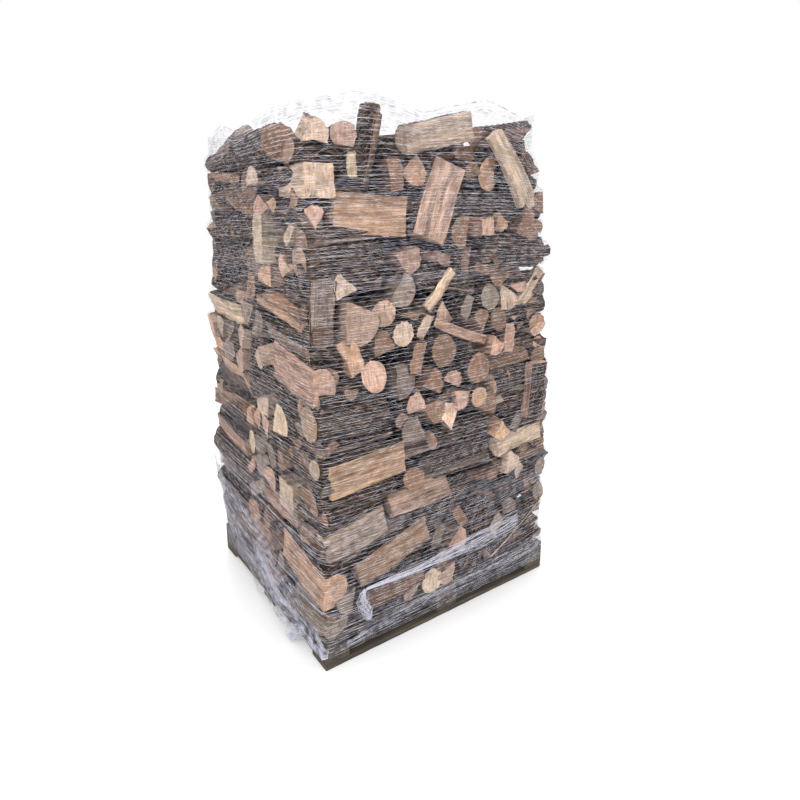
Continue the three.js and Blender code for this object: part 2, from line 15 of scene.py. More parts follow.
import bpy
import numpy as np
from mathutils import Vector
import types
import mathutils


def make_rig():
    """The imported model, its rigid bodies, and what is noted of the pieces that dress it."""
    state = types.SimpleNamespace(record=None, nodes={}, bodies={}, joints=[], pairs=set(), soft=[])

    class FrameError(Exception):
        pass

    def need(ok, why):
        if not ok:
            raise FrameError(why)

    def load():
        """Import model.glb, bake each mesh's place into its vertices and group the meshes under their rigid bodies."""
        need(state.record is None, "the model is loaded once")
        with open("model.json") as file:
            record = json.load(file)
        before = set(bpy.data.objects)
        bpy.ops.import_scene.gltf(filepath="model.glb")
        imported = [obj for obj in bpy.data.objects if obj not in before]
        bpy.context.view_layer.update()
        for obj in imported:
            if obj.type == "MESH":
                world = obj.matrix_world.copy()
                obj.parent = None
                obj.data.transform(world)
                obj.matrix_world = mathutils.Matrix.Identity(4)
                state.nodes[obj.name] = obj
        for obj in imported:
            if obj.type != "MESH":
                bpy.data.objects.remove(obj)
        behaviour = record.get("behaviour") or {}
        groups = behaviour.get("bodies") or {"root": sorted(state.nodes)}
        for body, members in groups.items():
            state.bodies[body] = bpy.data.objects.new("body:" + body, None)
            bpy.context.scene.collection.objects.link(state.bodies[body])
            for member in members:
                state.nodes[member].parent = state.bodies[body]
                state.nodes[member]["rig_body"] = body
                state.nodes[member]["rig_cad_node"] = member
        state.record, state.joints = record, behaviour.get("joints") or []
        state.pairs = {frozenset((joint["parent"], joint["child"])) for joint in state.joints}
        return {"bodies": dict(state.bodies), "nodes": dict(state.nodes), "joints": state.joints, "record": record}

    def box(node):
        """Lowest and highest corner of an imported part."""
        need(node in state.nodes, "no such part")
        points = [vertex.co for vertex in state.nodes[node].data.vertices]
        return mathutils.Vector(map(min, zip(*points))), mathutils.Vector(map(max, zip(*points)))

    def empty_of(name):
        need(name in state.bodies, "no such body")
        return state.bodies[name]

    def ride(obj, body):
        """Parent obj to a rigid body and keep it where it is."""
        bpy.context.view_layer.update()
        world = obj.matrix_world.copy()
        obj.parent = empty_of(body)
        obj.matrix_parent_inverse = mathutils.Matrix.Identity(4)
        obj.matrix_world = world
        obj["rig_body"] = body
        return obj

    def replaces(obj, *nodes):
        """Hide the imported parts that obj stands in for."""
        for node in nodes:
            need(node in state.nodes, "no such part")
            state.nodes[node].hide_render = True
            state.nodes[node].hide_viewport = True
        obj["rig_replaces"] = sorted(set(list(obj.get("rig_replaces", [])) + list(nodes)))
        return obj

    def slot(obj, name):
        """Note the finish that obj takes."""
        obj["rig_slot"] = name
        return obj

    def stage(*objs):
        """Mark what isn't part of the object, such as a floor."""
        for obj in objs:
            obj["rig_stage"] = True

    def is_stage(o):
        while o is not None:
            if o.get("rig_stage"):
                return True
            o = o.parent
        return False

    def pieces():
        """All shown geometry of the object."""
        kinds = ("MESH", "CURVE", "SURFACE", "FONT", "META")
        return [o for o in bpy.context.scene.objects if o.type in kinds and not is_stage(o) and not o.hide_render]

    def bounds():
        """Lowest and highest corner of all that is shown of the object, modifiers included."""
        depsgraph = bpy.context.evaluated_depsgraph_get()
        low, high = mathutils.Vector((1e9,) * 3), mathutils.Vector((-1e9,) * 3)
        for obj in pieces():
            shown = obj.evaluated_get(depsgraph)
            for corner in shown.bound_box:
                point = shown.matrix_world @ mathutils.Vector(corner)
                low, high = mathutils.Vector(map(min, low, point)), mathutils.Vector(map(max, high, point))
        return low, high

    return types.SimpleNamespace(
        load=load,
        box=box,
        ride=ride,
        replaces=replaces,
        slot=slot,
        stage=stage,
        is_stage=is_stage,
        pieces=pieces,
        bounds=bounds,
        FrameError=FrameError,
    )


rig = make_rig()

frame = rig.load()
cad_box = [list(corner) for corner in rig.bounds()]
slot_of = {row["node"]: row["material_slot"] for row in frame["record"]["subparts"]}
bpy.ops.object.select_all(action="DESELECT")
print(len(frame["nodes"]), "CAD nodes, box", cad_box)

# %% [markdown]
# ## Camera
# The picture is taken at eye height, about two and a half metres from the middle of the stack,
# with the camera turned down a little. A lens of 28 mm on a 36 mm sensor gives the same
# convergence of the upright edges. The small shift places the stack in the frame.

# %% Camera
CAMERA_PLACE = (-1.3464, -2.0499, 1.5550)
CAMERA_TURN = 35.385  # degrees from +Y towards +X
CAMERA_PITCH = 12.303  # degrees below level
LENS = 27.8555
SENSOR_WIDTH = 36
SHIFT_UP = -0.0875

bpy.ops.object.camera_add(
    location=CAMERA_PLACE,
    rotation=(math.radians(90 - CAMERA_PITCH), 0, math.radians(-CAMERA_TURN)),
)
camera = bpy.context.object
camera.name = "camera"
camera.data.lens = LENS
camera.data.sensor_width = SENSOR_WIDTH
camera.data.shift_y = SHIFT_UP
bpy.context.scene.camera = camera
print("camera at", CAMERA_PLACE)

# %% [markdown]
# ## Floor and light
# A plain pale floor, a white surrounding and one large soft light from the upper left give the
# even light of an overcast day. A weaker light from the right keeps the logs on that side
# readable, and one behind lights the far sides. White light from all around fills the gaps
# between the logs too much, so the picture's gamma makes them darker again.

# %% Floor and lights
FLOOR_COLOUR = (0.92, 0.92, 0.92, 1)
FLOOR_GLOW = 0.09
FLOOR_DROP = 0.001  # just under the pallet, so that the two never share a plane
WHITE = (1, 1, 1, 1)
WORLD_STRENGTH = 1.0
PICTURE_GAMMA = 0.85
LIGHTS_AIM_AT = (0, 0, 0.9)

bpy.ops.mesh.primitive_plane_add(size=40, location=(0, 0, -FLOOR_DROP))
floor = bpy.context.object
floor.name = "floor"
floor_finish = bpy.data.materials.new("pale_floor")
floor_finish.use_nodes = True
floor_shader = floor_finish.node_tree.nodes["Principled BSDF"]
floor_shader.inputs["Base Color"].default_value = FLOOR_COLOUR
floor_shader.inputs["Roughness"].default_value = 0.9
floor_shader.inputs["Emission Color"].default_value = WHITE
floor_shader.inputs["Emission Strength"].default_value = FLOOR_GLOW
floor.data.materials.append(floor_finish)
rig.stage(floor)

world = bpy.data.worlds.new("pale_room")
world.use_nodes = True
world.node_tree.nodes["Background"].inputs["Color"].default_value = WHITE
world.node_tree.nodes["Background"].inputs["Strength"].default_value = WORLD_STRENGTH
bpy.context.scene.world = world
bpy.context.scene.view_settings.view_transform = "Standard"
bpy.context.scene.view_settings.gamma = PICTURE_GAMMA


def soft_light(name, place, size, power):
    """A square light of a size in metres and a power in watts, turned towards the stack."""
    bpy.ops.object.light_add(type="AREA", location=place)
    light = bpy.context.object
    light.name = name
    light.data.size = size
    light.data.energy = power
    away = light.location - Vector(LIGHTS_AIM_AT)
    light.rotation_euler = away.to_track_quat("Z", "Y").to_euler()


soft_light("key_light", (-3.2, -3.0, 4.0), 2.6, 150)
soft_light("fill_light", (3.4, -3.2, 2.6), 2.4, 30)
soft_light("back_light", (1.5, 3.8, 3.2), 3.0, 80)
print("lights", [o.name for o in bpy.data.objects if o.type == "LIGHT"])

# %% [markdown]
# ## Building materials from nodes
# All the finishes are made of the same few nodes, so a few helpers keep them readable. One
# starts a material, and one adds a node and gives its sockets a value or links them. The
# others are built on these two: a colour ramp, a sum, a mix of colours and a noise.


# %% Node helpers
def new_material(name, roughness):
    finish = bpy.data.materials.new(name)
    finish.use_nodes = True
    shader = finish.node_tree.nodes["Principled BSDF"]
    shader.inputs["Roughness"].default_value = roughness
    return finish, shader


def add_node(finish, kind, sockets=None, **settings):
    """Adds a node. A socket is given a plain value, or another node's output to link to."""
    node = finish.node_tree.nodes.new("ShaderNode" + kind)
    for name, value in settings.items():
        setattr(node, name, value)
    for name, value in (sockets or {}).items():
        if isinstance(value, bpy.types.NodeSocket):
            finish.node_tree.links.new(value, node.inputs[name])
        else:
            node.inputs[name].default_value = value
    return node


def link(finish, output, target):
    finish.node_tree.links.new(output, target)


def ramp(finish, value, *stops):
    """Turns a value into a colour, through stops of (position, grey or colour)."""
    node = add_node(finish, "ValToRGB", {"Fac": value})
    elements = node.color_ramp.elements
    while len(elements) < len(stops):
        elements.new(0.5)
    for element, (position, colour) in zip(elements, stops):
        element.position = position
        element.color = (colour,) * 3 + (1,) if isinstance(colour, (int, float)) else (*colour, 1)
    return node.outputs["Color"]


def maths(finish, operation, a, b=0.0, clamp=False):
    return add_node(finish, "Math", {0: a, 1: b}, operation=operation, use_clamp=clamp).outputs[0]


def blend_colours(finish, amount, a, b, how="MIX"):
    node = add_node(finish, "Mix", {0: amount, 6: a, 7: b}, data_type="RGBA", blend_type=how)
    return node.outputs[2]


def noise(finish, place, scale, seed, detail=4.0, roughness=0.6):
    """Four-dimensional noise, so that each log's own seed gives it a pattern of its own."""
    stretched = add_node(finish, "Mapping", {"Vector": place, "Scale": scale}).outputs[0]
    sockets = {"Vector": stretched, "W": seed, "Scale": 1.0, "Detail": detail, "Roughness": roughness}
    return add_node(finish, "TexNoise", sockets, noise_dimensions="4D").outputs["Fac"]


print("node helpers ready")

# %% [markdown]
# ## Wood finishes
# A log has three surfaces. Bark is nearly black in its cracks and grey-brown on its plates,
# which are longer along the branch than across, with flakes of orange inner bark. A split
# face is torn along its fibres, so its pattern is stretched along the log, and its colour
# runs from cream sapwood to orange and pinkish heartwood. A sawn end shows rings, fine cracks
# from the middle, and grey weathering.
#
# Each log mesh carries what these patterns need: `grain`, its place along and across its own
# log, `seed`, a number of its own, `bark`, how much of the surface is bark, and `tone`, the
# colour of its wood, darkened as painted shade for the logs that lie in the holes and further
# in. The patterns turn with each log because they follow those attributes.

# %% Wood for the sides of a log
BARK_DARK = (0.012, 0.009, 0.007)
BARK_MID = (0.062, 0.040, 0.028)
BARK_PALE = (0.205, 0.155, 0.120)
FLAKE = (0.330, 0.175, 0.085, 1)
CRUST = (0.285, 0.240, 0.205, 1)
WEATHERED_WOOD = (0.095, 0.070, 0.052, 1)
BARK_EDGE_RAGGED = 0.9  # how far the edge of the bark strays over a split face


def grain_sockets(finish):
    place = add_node(finish, "Attribute", attribute_name="grain").outputs["Vector"]
    seed = add_node(finish, "Attribute", attribute_name="seed").outputs["Fac"]
    return place, seed


log_side, side_shader = new_material("log_side", 0.85)
place, seed = grain_sockets(log_side)
tone = add_node(log_side, "Attribute", attribute_name="tone").outputs["Color"]
fibres = noise(log_side, place, (14, 260, 260), seed, 5, 0.7)
streaks = noise(log_side, place, (3.5, 42, 42), seed, 3, 0.6)
patches = noise(log_side, place, (9, 16, 16), seed, 3, 0.6)
torn = blend_colours(log_side, 1.0, tone, ramp(log_side, fibres, (0.32, 0.45), (0.66, 1.25)), "MULTIPLY")
torn = blend_colours(log_side, 1.0, torn, ramp(log_side, streaks, (0.33, 0.42), (0.62, 1.08)), "MULTIPLY")
weathered = ramp(log_side, patches, (0.52, 0.0), (0.80, 0.6))
torn = blend_colours(log_side, weathered, torn, WEATHERED_WOOD)

plates = noise(log_side, place, (26, 85, 85), seed, 6, 0.75)
crust = noise(log_side, place, (45, 90, 90), seed, 5, 0.7)
flakes = noise(log_side, place, (70, 190, 190), seed, 3, 0.6)
cracks = noise(log_side, place, (34, 190, 190), seed, 3, 0.6)
rind = ramp(log_side, plates, (0.40, BARK_DARK), (0.52, BARK_MID), (0.68, BARK_PALE))
rind = blend_colours(log_side, ramp(log_side, flakes, (0.57, 0.0), (0.64, 0.75)), rind, FLAKE)
rind = blend_colours(log_side, ramp(log_side, crust, (0.57, 0.0), (0.67, 0.7)), rind, CRUST)
rind = blend_colours(log_side, 1.0, rind, ramp(log_side, cracks, (0.40, 0.25), (0.52, 1.15)), "MULTIPLY")

covered = add_node(log_side, "Attribute", attribute_name="bark").outputs["Fac"]
straying = maths(log_side, "SUBTRACT", patches, 0.5)
straying = maths(log_side, "MULTIPLY", straying, BARK_EDGE_RAGGED)
ragged = ramp(log_side, maths(log_side, "ADD", covered, straying), (0.42, 0.0), (0.52, 1.0))
link(log_side, blend_colours(log_side, ragged, torn, rind), side_shader.inputs["Base Color"])

relief = add_node(log_side, "Mix", {0: ragged, 2: fibres, 3: plates}).outputs[0]
relief = maths(log_side, "ADD", relief, maths(log_side, "MULTIPLY", cracks, 0.3))
bump = add_node(log_side, "Bump", {"Height": relief, "Strength": 0.9, "Distance": 0.006})
link(log_side, bump.outputs[0], side_shader.inputs["Normal"])
print("log_side has", len(log_side.node_tree.nodes), "nodes")

# %% [markdown]
# The rings of a sawn end are a sine of the distance from the log's axis, made uneven by a
# noise. Its cracks run out from the middle, so their noise is read by angle and distance.

# %% Wood for the sawn ends
RING_RATE = 1500  # radians of the sine for each metre, so a ring is about 4 mm wide
RING_UNEVEN = 26
STAINED_END = (0.12, 0.085, 0.060, 1)
CRACK_IN_END = (0.045, 0.03, 0.02, 1)

log_end, end_shader = new_material("log_end", 0.8)
place, seed = grain_sockets(log_end)
tone = add_node(log_end, "Attribute", attribute_name="tone").outputs["Color"]
parts = add_node(log_end, "SeparateXYZ", {"Vector": place})
across, rise = parts.outputs["Y"], parts.outputs["Z"]
wobble = noise(log_end, place, (2, 30, 30), seed, 2, 0.5)
far = maths(log_end, "SQRT", maths(log_end, "ADD", maths(log_end, "MULTIPLY", across, across),
                                   maths(log_end, "MULTIPLY", rise, rise)))
rings = maths(log_end, "SINE", maths(log_end, "ADD", maths(log_end, "MULTIPLY", far, RING_RATE),
                                     maths(log_end, "MULTIPLY", wobble, RING_UNEVEN)))
sawn = noise(log_end, place, (40, 220, 40), seed, 4, 0.7)
stains = noise(log_end, place, (8, 26, 26), seed, 4, 0.65)
angle = maths(log_end, "ARCTAN2", across, rise)
spokes = add_node(log_end, "CombineXYZ", {"X": maths(log_end, "MULTIPLY", angle, 1.9),
                                           "Y": maths(log_end, "MULTIPLY", far, 9)}).outputs[0]
checks = noise(log_end, spokes, (3, 1, 1), seed, 2, 0.5)
face = blend_colours(log_end, 1.0, tone, ramp(log_end, rings, (0.0, 0.90), (1.0, 1.12)), "MULTIPLY")
face = blend_colours(log_end, 1.0, face, ramp(log_end, sawn, (0.3, 0.5), (0.7, 1.2)), "MULTIPLY")
face = blend_colours(log_end, ramp(log_end, stains, (0.46, 0.0), (0.78, 0.7)), face, STAINED_END)
crack = ramp(log_end, checks, (0.30, 1.0), (0.335, 0.0))
face = blend_colours(log_end, maths(log_end, "MULTIPLY", crack, 0.75), face, CRACK_IN_END)
link(log_end, face, end_shader.inputs["Base Color"])
height = maths(log_end, "SUBTRACT", maths(log_end, "MULTIPLY", sawn, 0.5), crack)
bump = add_node(log_end, "Bump", {"Height": height, "Strength": 0.8, "Distance": 0.003})
link(log_end, bump.outputs[0], end_shader.inputs["Normal"])
print("log_end has", len(log_end.node_tree.nodes), "nodes")

# %% [markdown]
# ## A blank log
# Every log starts as a blank: a cylinder of radius 1, cut into rings along its length, with a
# narrow bevel round its ends and two insets on each sawn face. The operators make the grid
# once for each of three blanks, a fine, a plain and a rough one. The shaping that comes
# later only moves its corners, so a round branch, a half log and a wedge share one tidy grid.


# %% Blank logs from a cylinder
AT_END = 0.999  # a blank runs from -1 to 1, and a corner past this is on a sawn face
END_BEVEL = 0.03
END_INSET = 0.33
FINE = (72, 36)  # sides round a blank, and steps along it
PLAIN = (24, 8)
ROUGH = (16, 4)


def choose(piece, kind, test):
    """Selects the edges or faces of a piece whose corners pass a test, in edit mode."""
    bpy.context.view_layer.objects.active = piece
    bpy.ops.object.mode_set(mode="EDIT")
    bpy.ops.mesh.select_mode(type=kind)
    bpy.ops.mesh.select_all(action="DESELECT")
    bpy.ops.object.mode_set(mode="OBJECT")
    items = piece.data.edges if kind == "EDGE" else piece.data.polygons
    for item in items:
        item.select = test([piece.data.vertices[i].co for i in item.vertices])
    bpy.ops.object.mode_set(mode="EDIT")


def blank_log(sides, steps):
    """A cylinder's grid: each corner's side, place along and distance out, and the faces."""
    bpy.ops.object.select_all(action="DESELECT")
    bpy.ops.mesh.primitive_cylinder_add(vertices=sides, radius=1, depth=2, end_fill_type="NGON")
    piece = bpy.context.object
    choose(piece, "EDGE", lambda ends: ends[0].z * ends[1].z < 0)
    bpy.ops.mesh.subdivide(number_cuts=steps - 1)
    choose(piece, "EDGE", lambda ends: min(abs(end.z) for end in ends) > AT_END)
    bpy.ops.mesh.bevel(offset=END_BEVEL, segments=1, affect="EDGES")
    choose(piece, "FACE", lambda corners: min(abs(corner.z) for corner in corners) > AT_END)
    bpy.ops.mesh.inset(thickness=END_INSET)
    bpy.ops.mesh.inset(thickness=END_INSET)
    bpy.ops.mesh.poke()
    bpy.ops.mesh.select_all(action="SELECT")
    bpy.ops.mesh.quads_convert_to_tris()
    bpy.ops.object.mode_set(mode="OBJECT")
    grid = np.array([vertex.co for vertex in piece.data.vertices])
    faces = np.array([list(face.vertices) for face in piece.data.polygons])
    bpy.data.objects.remove(piece)
    inward = np.hypot(grid[:, 0], grid[:, 1])
    side = np.round(np.arctan2(grid[:, 1], grid[:, 0]) / (2 * math.pi) * sides).astype(int) % sides
    return {"side": side, "along": grid[:, 2], "inward": inward, "faces": faces, "sides": sides}


fine_blank = blank_log(*FINE)
plain_blank = blank_log(*PLAIN)
rough_blank = blank_log(*ROUGH)
for blank in (fine_blank, plain_blank, rough_blank):
    print(len(blank["along"]), "corners,", len(blank["faces"]), "triangles")

# %% [markdown]
# ## Sections of a log
# The CAD model cuts the logs to five sections: round, half, wedge, slab and block. Their
# corners are repeated here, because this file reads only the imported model. An edge of a
# section is either bark, which is rounded out to an arc, or a split, which stays straight.

# %% Sections
KINDS = ["round", "half", "wedge", "slab", "block"]
CORNERS = {
    "round": [[1, 0], [0.5, 0.85], [-0.45, 0.87], [-0.96, 0.1], [-0.55, -0.82], [0.45, -0.88]],
    "half": [[0.95, 0.3], [0.4, 0.9], [-0.3, 0.94], [-0.3, -0.94], [0.4, -0.9], [0.95, -0.3]],
    "wedge": [[0.9, 0.4], [0.45, 0.88], [-0.85, 0.05], [-0.85, -0.05], [0.45, -0.88], [0.9, -0.4]],
    "slab": [[0.4, 0.9], [-0.36, 0.92], [-0.36, -0.92], [0.4, -0.9], [0.55, 0]],
    "block": [[0.7, 0.7], [-0.68, 0.72], [-0.72, -0.68], [0.68, -0.72]],
}
SPLIT_EDGES = {"round": [], "half": [2], "wedge": [1, 2, 3], "slab": [0, 1, 2], "block": [0, 1, 2, 3]}
GIRTH = np.array([0.97, 0.85, 0.76, 0.7, 0.86])  # how thick each one is, as a share of its radius
SECTION = np.array([(CORNERS[kind] + [CORNERS[kind][-1]] * 2)[:6] for kind in KINDS])


def outline(kind, sides):
    """Points round a section, each with the split's outward direction, or none on bark."""
    corners = np.array(CORNERS[kind], float)
    following = np.roll(corners, -1, axis=0)
    lengths = np.linalg.norm(following - corners, axis=1)
    counts = np.maximum(1, np.floor(sides * lengths / lengths.sum())).astype(int)
    counts[np.argmax(lengths)] += sides - counts.sum()
    points, normals = [], []
    for i, (start, end) in enumerate(zip(corners, following)):
        for t in np.arange(counts[i]) / counts[i]:
            point = start + (end - start) * t
            normal = np.zeros(2)
            if i in SPLIT_EDGES[kind]:
                normal = np.array([end[1] - start[1], start[0] - end[0]]) / lengths[i]
            else:
                reach = np.linalg.norm(start) * (1 - t) + np.linalg.norm(end) * t
                point = point * reach / np.linalg.norm(point)
            points.append(point)
            normals.append(normal)
    return np.array(points), np.array(normals)


OUTLINES = {(kind, sides): outline(kind, sides) for kind in KINDS for sides, _ in (FINE, PLAIN, ROUGH)}
print("outlines for", KINDS)

# %% [markdown]
# ## The pile
# The logs that have a node of their own keep their place. The others are found as the CAD
# source finds them: size by size, logs are tried at places all over the faces, the one that
# fits best is kept, and all of them push each other apart while they sink a little. The
# numbers are drawn from the place's own seed, so both programs try the same logs. The two
# piles are almost the same: most logs lie within a millimetre of their twin in the CAD, and
# a few lie elsewhere.

# %% What the pile is made of
DECK_TOP = 120.6
PILE_TOP = 1785
LOG_LENGTH = (235, 330)
GRID = (74, 62)
JITTER = (40, 32)
TRIES = 24
FIT = 0.45
TURN_SPREAD = 18
TILT_SPREAD = {"lying": 16, "end on": 10}
STEEP_SHARE = 0.08
STEEP_TILT = 60
STEEP_SPREAD = 30
SKEW_SPREAD = 0.15
SPOT_DEPTH = 35  # how far in from a face a place counts as taken
REACH = 420  # logs whose middles are further apart than this can't touch
SIZES = [
    # radius from and to, the share with an end to the face, and how far behind the face
    {"radius": (50, 66), "ends": 0.12, "behind": 0},
    {"radius": (41, 54), "ends": 0.12, "behind": 0},
    {"radius": (38, 52), "ends": 0, "behind": 45},
    {"radius": (32, 44), "ends": 0.1, "behind": 4},
    {"radius": (36, 52), "ends": 0, "behind": 100},
    {"radius": (26, 34), "ends": 0.1, "behind": 10},
]
DRAWN_KINDS = np.array([0, 1, 2, 1, 0, 3, 2])
WAIST = 900  # up to this height the faces are upright, and above it they lean
WALLS = [(476, -92), (526, -54), (472, -88), (534, 12)]  # how far out, and how far they lean
HALF = [520, 460, 520, 460]  # half the pallet's width along each face
OUTWARD = np.array([[0, -1, 0], [1, 0, 0], [0, 1, 0], [-1, 0, 0]], float)
SIDEWAYS = np.array([[1, 0, 0], [0, 1, 0], [-1, 0, 0], [0, -1, 0]], float)
UPWARD = np.array([0, 0, 1.0])
FACES = {"front": 0, "right": 1, "back": 2, "left": 3}


def wall(face, z):
    """How far a face is from the middle, at a height."""
    return WALLS[face][0] + WALLS[face][1] * np.maximum(0, z - WAIST) / WAIST


def bulge(face, u, z):
    """Slow waves of a face, so that it is not dead flat."""
    phase = face * 90 / 40
    return 9 * np.sin(u / 95 + phase) + 12 * np.sin(z / 120 + 1.7 * phase + u / 400)


def direction(heading, tilt):
    """The way that a log points, from its heading and its tilt in degrees."""
    h, t = np.radians(heading), np.radians(tilt)
    return np.stack(np.broadcast_arrays(np.cos(h) * np.cos(t), np.sin(h) * np.cos(t), np.sin(t)), -1)


def seeded(seed, rows, columns):
    """The CAD source's random numbers from 0 to 1, all at once."""
    a = np.uint32(seed) + np.arange(1, rows * columns + 1, dtype=np.uint32) * np.uint32(0x6D2B79F5)
    t = (a ^ (a >> np.uint32(15))) * (a | np.uint32(1))
    t = (t + (t ^ (t >> np.uint32(7))) * (t | np.uint32(61))) ^ t
    return ((t ^ (t >> np.uint32(14))).astype(float) / 4294967296).reshape(rows, columns)


print("first numbers", seeded(1, 1, 3))

# %% [markdown]
# A group of logs is a set of columns, one value of each for every log: its middle, direction,
# length, radius, section, roll about its axis, the skew of its sawn ends, the face it belongs
# to, and how far its rim is from its axis.

# %% Groups of logs
COLUMNS = ("middle", "axis", "length", "radius", "kind", "roll", "skew", "face", "rim")


def pick(logs, index):
    return {name: logs[name][index] for name in COLUMNS}


def together(*groups):
    return {name: np.concatenate([group[name] for group in groups]) for name in COLUMNS}


def half_axis(logs):
    """Half of each log's axis, cut short where the log's own end rounds it off."""
    return logs["length"] / 2 - 0.3 * logs["radius"]


def cross_axes(logs):
    """Two directions across each log, from which its roll is counted."""
    flat = np.where(np.abs(logs["axis"][:, 2:]) < 0.97, [[0.0, 0, 1]], [[1.0, 0, 0]])
    side = np.cross(flat, logs["axis"])
    side /= np.linalg.norm(side, axis=1)[:, None]
    return side, np.cross(logs["axis"], side)


def end_corners(logs):
    """The corners of both ends of each log, as the CAD has them."""
    side, rise = cross_axes(logs)
    c, s = np.cos(np.radians(logs["roll"]))[:, None], np.sin(np.radians(logs["roll"]))[:, None]
    a, b = SECTION[logs["kind"]][..., 0], SECTION[logs["kind"]][..., 1]
    p = (a * c - b * s) * logs["radius"][:, None]
    q = (a * s + b * c) * logs["radius"][:, None]
    lean = p * logs["skew"][:, :1] + q * logs["skew"][:, 1:]
    across = logs["middle"][:, None] + side[:, None] * p[..., None] + rise[:, None] * q[..., None]
    both = [across + logs["axis"][:, None] * (end * logs["length"][:, None] / 2 + lean)[..., None]
            for end in (-1, 1)]
    return np.concatenate(both, axis=1)


def contact(a, b):
    """Nearest points of two logs' axes, the way from one to the other, and their overlap."""
    ha, hb = half_axis(a), half_axis(b)
    w = a["middle"] - b["middle"]
    k = (a["axis"] * b["axis"]).sum(-1)
    da = (a["axis"] * w).sum(-1)
    db = (b["axis"] * w).sum(-1)
    s = np.clip((k * db - da) / np.maximum(1 - k * k, 1e-6), -ha, ha)
    t = np.clip(db + k * s, -hb, hb)
    s = np.clip(k * t - da, -ha, ha)
    apart = w + a["axis"] * s[..., None] - b["axis"] * t[..., None]
    distance = np.maximum(np.sqrt((apart ** 2).sum(-1)), 1e-6)
    touch = a["radius"] * GIRTH[a["kind"]] + b["radius"] * GIRTH[b["kind"]]
    return s, t, apart / distance[..., None], touch + 2 - distance


print("a group's columns:", ", ".join(COLUMNS))

# %% [markdown]
# ## The logs with a node of their own
# What the CAD gave each of them is written down once: section, radius, heading, tilt and roll.
# Its middle and length are read from its node, because the logs settled after they were laid.

# %% Logs of the CAD model
NODE_LOGS = {
    # name: section, radius, heading, tilt, roll, wood
    "big_split_log": ("half", 70, 0, -4, 0, "orange"),
    "cream_block": ("block", 70, 90, 0, 0, "cream"),
    "triangle_end_log": ("wedge", 46, 90, 0, 90, "pink"),
    "leaning_slab": ("half", 74, 0, 70, 0, "pink"),
    "golden_top_slab": ("half", 54, 0, 12, 0, "cream"),
    "diagonal_slab": ("slab", 42, 0, -53, 0, "cream"),
    "top_right_log": ("half", 46, 0, 8, 50, "pink"),
    "right_bark_stub": ("round", 40, 0, -30, 0, "grey"),
    "right_small_end": ("round", 27, 90, 0, 0, "cream"),
    "right_dark_log": ("round", 72, 0, -8, 0, "bark"),
    "pink_block_end": ("block", 50, 90, 0, 0, "pink"),
    "long_dark_branch": ("round", 40, 0, -5, 0, "bark"),
    "steep_bark_log": ("half", 58, 10, 74, 40, "brown"),
    "pointed_log": ("wedge", 48, 70, 10, 150, "cream"),
    "cream_upright_end": ("slab", 44, 90, 0, 0, "cream"),
    "front_bark_log": ("round", 54, 0, 1, 0, "bark"),
    "pink_wedge_face": ("wedge", 64, 90, 0, 200, "pink"),
    "upright_bark_piece": ("half", 44, 0, 86, 180, "grey"),
    "pink_triangle_end": ("wedge", 92, 90, 0, 239, "pink"),
    "cream_round_end": ("round", 45, 90, 0, 0, "cream"),
    "pink_stick": ("slab", 20, 0, -22, 0, "pink"),
    "pale_stick": ("slab", 22, 0, 48, 0, "cream"),
    "large_brown_end": ("round", 60, 90, 0, 0, "brown"),
    "oval_end": ("half", 46, 90, 0, 120, "pink"),
    "orange_round_end": ("round", 40, 90, 0, 0, "orange"),
    "blunt_log": ("half", 39, 0, 5, -30, "brown"),
    "poking_slat": ("slab", 34, 0, 47, 0, "cream"),
    "hanging_slab": ("slab", 48, 348, 87, 0, "pink"),
    "pink_wedge_end": ("wedge", 50, 90, 0, 30, "pink"),
    "long_bark_log": ("round", 60, 0, 0, 0, "bark"),
    "long_split_plank": ("half", 64, 0, 4, 0, "orange"),
    "pink_round_log": ("round", 42, 0, 5, 0, "pink"),
    "cream_ended_branch": ("round", 40, 0, 5, 0, "grey"),
    "pale_right_block": ("half", 41, 0, 5, 0, "cream"),
    "splintered_log": ("half", 60, 0, 12, 0, "cream"),
    "low_orange_plank": ("half", 56, 0, 16, 0, "orange"),
    "low_brown_block": ("half", 46, 0, 6, 0, "brown"),
    "brown_top_log": ("round", 66, 270, 3, 0, "brown"),
    "cream_slab_end": ("half", 50, 0, 0, 80, "cream"),
    "tall_cream_end": ("slab", 88, 0, 0, 0, "cream"),
    "pale_standing_slab": ("half", 68, 270, 84, 0, "cream"),
    "red_corner_log": ("half", 72, 270, -8, 0, "pink"),
    "cream_wedge_end": ("wedge", 82, 0, 0, 140, "cream"),
    "bright_square_end": ("block", 82, 0, 0, 4, "cream"),
    "corner_orange_log": ("half", 70, 270, -8, 0, "orange"),
    "left_dark_branch": ("round", 48, 270, 6, 0, "bark"),
}


def node_group():
    """The CAD's own logs as a group, with each middle found from the node's corners."""
    rows = []
    for name, (kind, radius, heading, tilt, roll, wood) in NODE_LOGS.items():
        log = {"middle": np.zeros((1, 3)), "axis": direction(heading, tilt)[None], "length": np.zeros(1),
               "radius": np.array([float(radius)]), "kind": np.array([KINDS.index(kind)]),
               "roll": np.array([float(roll)]), "skew": np.zeros((1, 2)), "face": np.array([-1]),
               "rim": np.zeros(1)}
        corners = np.array([vertex.co for vertex in frame["nodes"][name].data.vertices]) * 1000
        own = end_corners(log)[0]
        for across in cross_axes(log):
            log["middle"][0] += across[0] * ((corners @ across[0]).max() - (own @ across[0]).max())
        along = corners @ log["axis"][0]
        log["middle"][0] += log["axis"][0] * (along.max() + along.min()) / 2
        log["length"][0] = along.max() - along.min()
        rows.append(log)
    return together(*rows)


node_logs = node_group()
shortest, longest = node_logs["length"].min(), node_logs["length"].max()
print(len(node_logs["length"]), "logs with a node, lengths", shortest, longest)

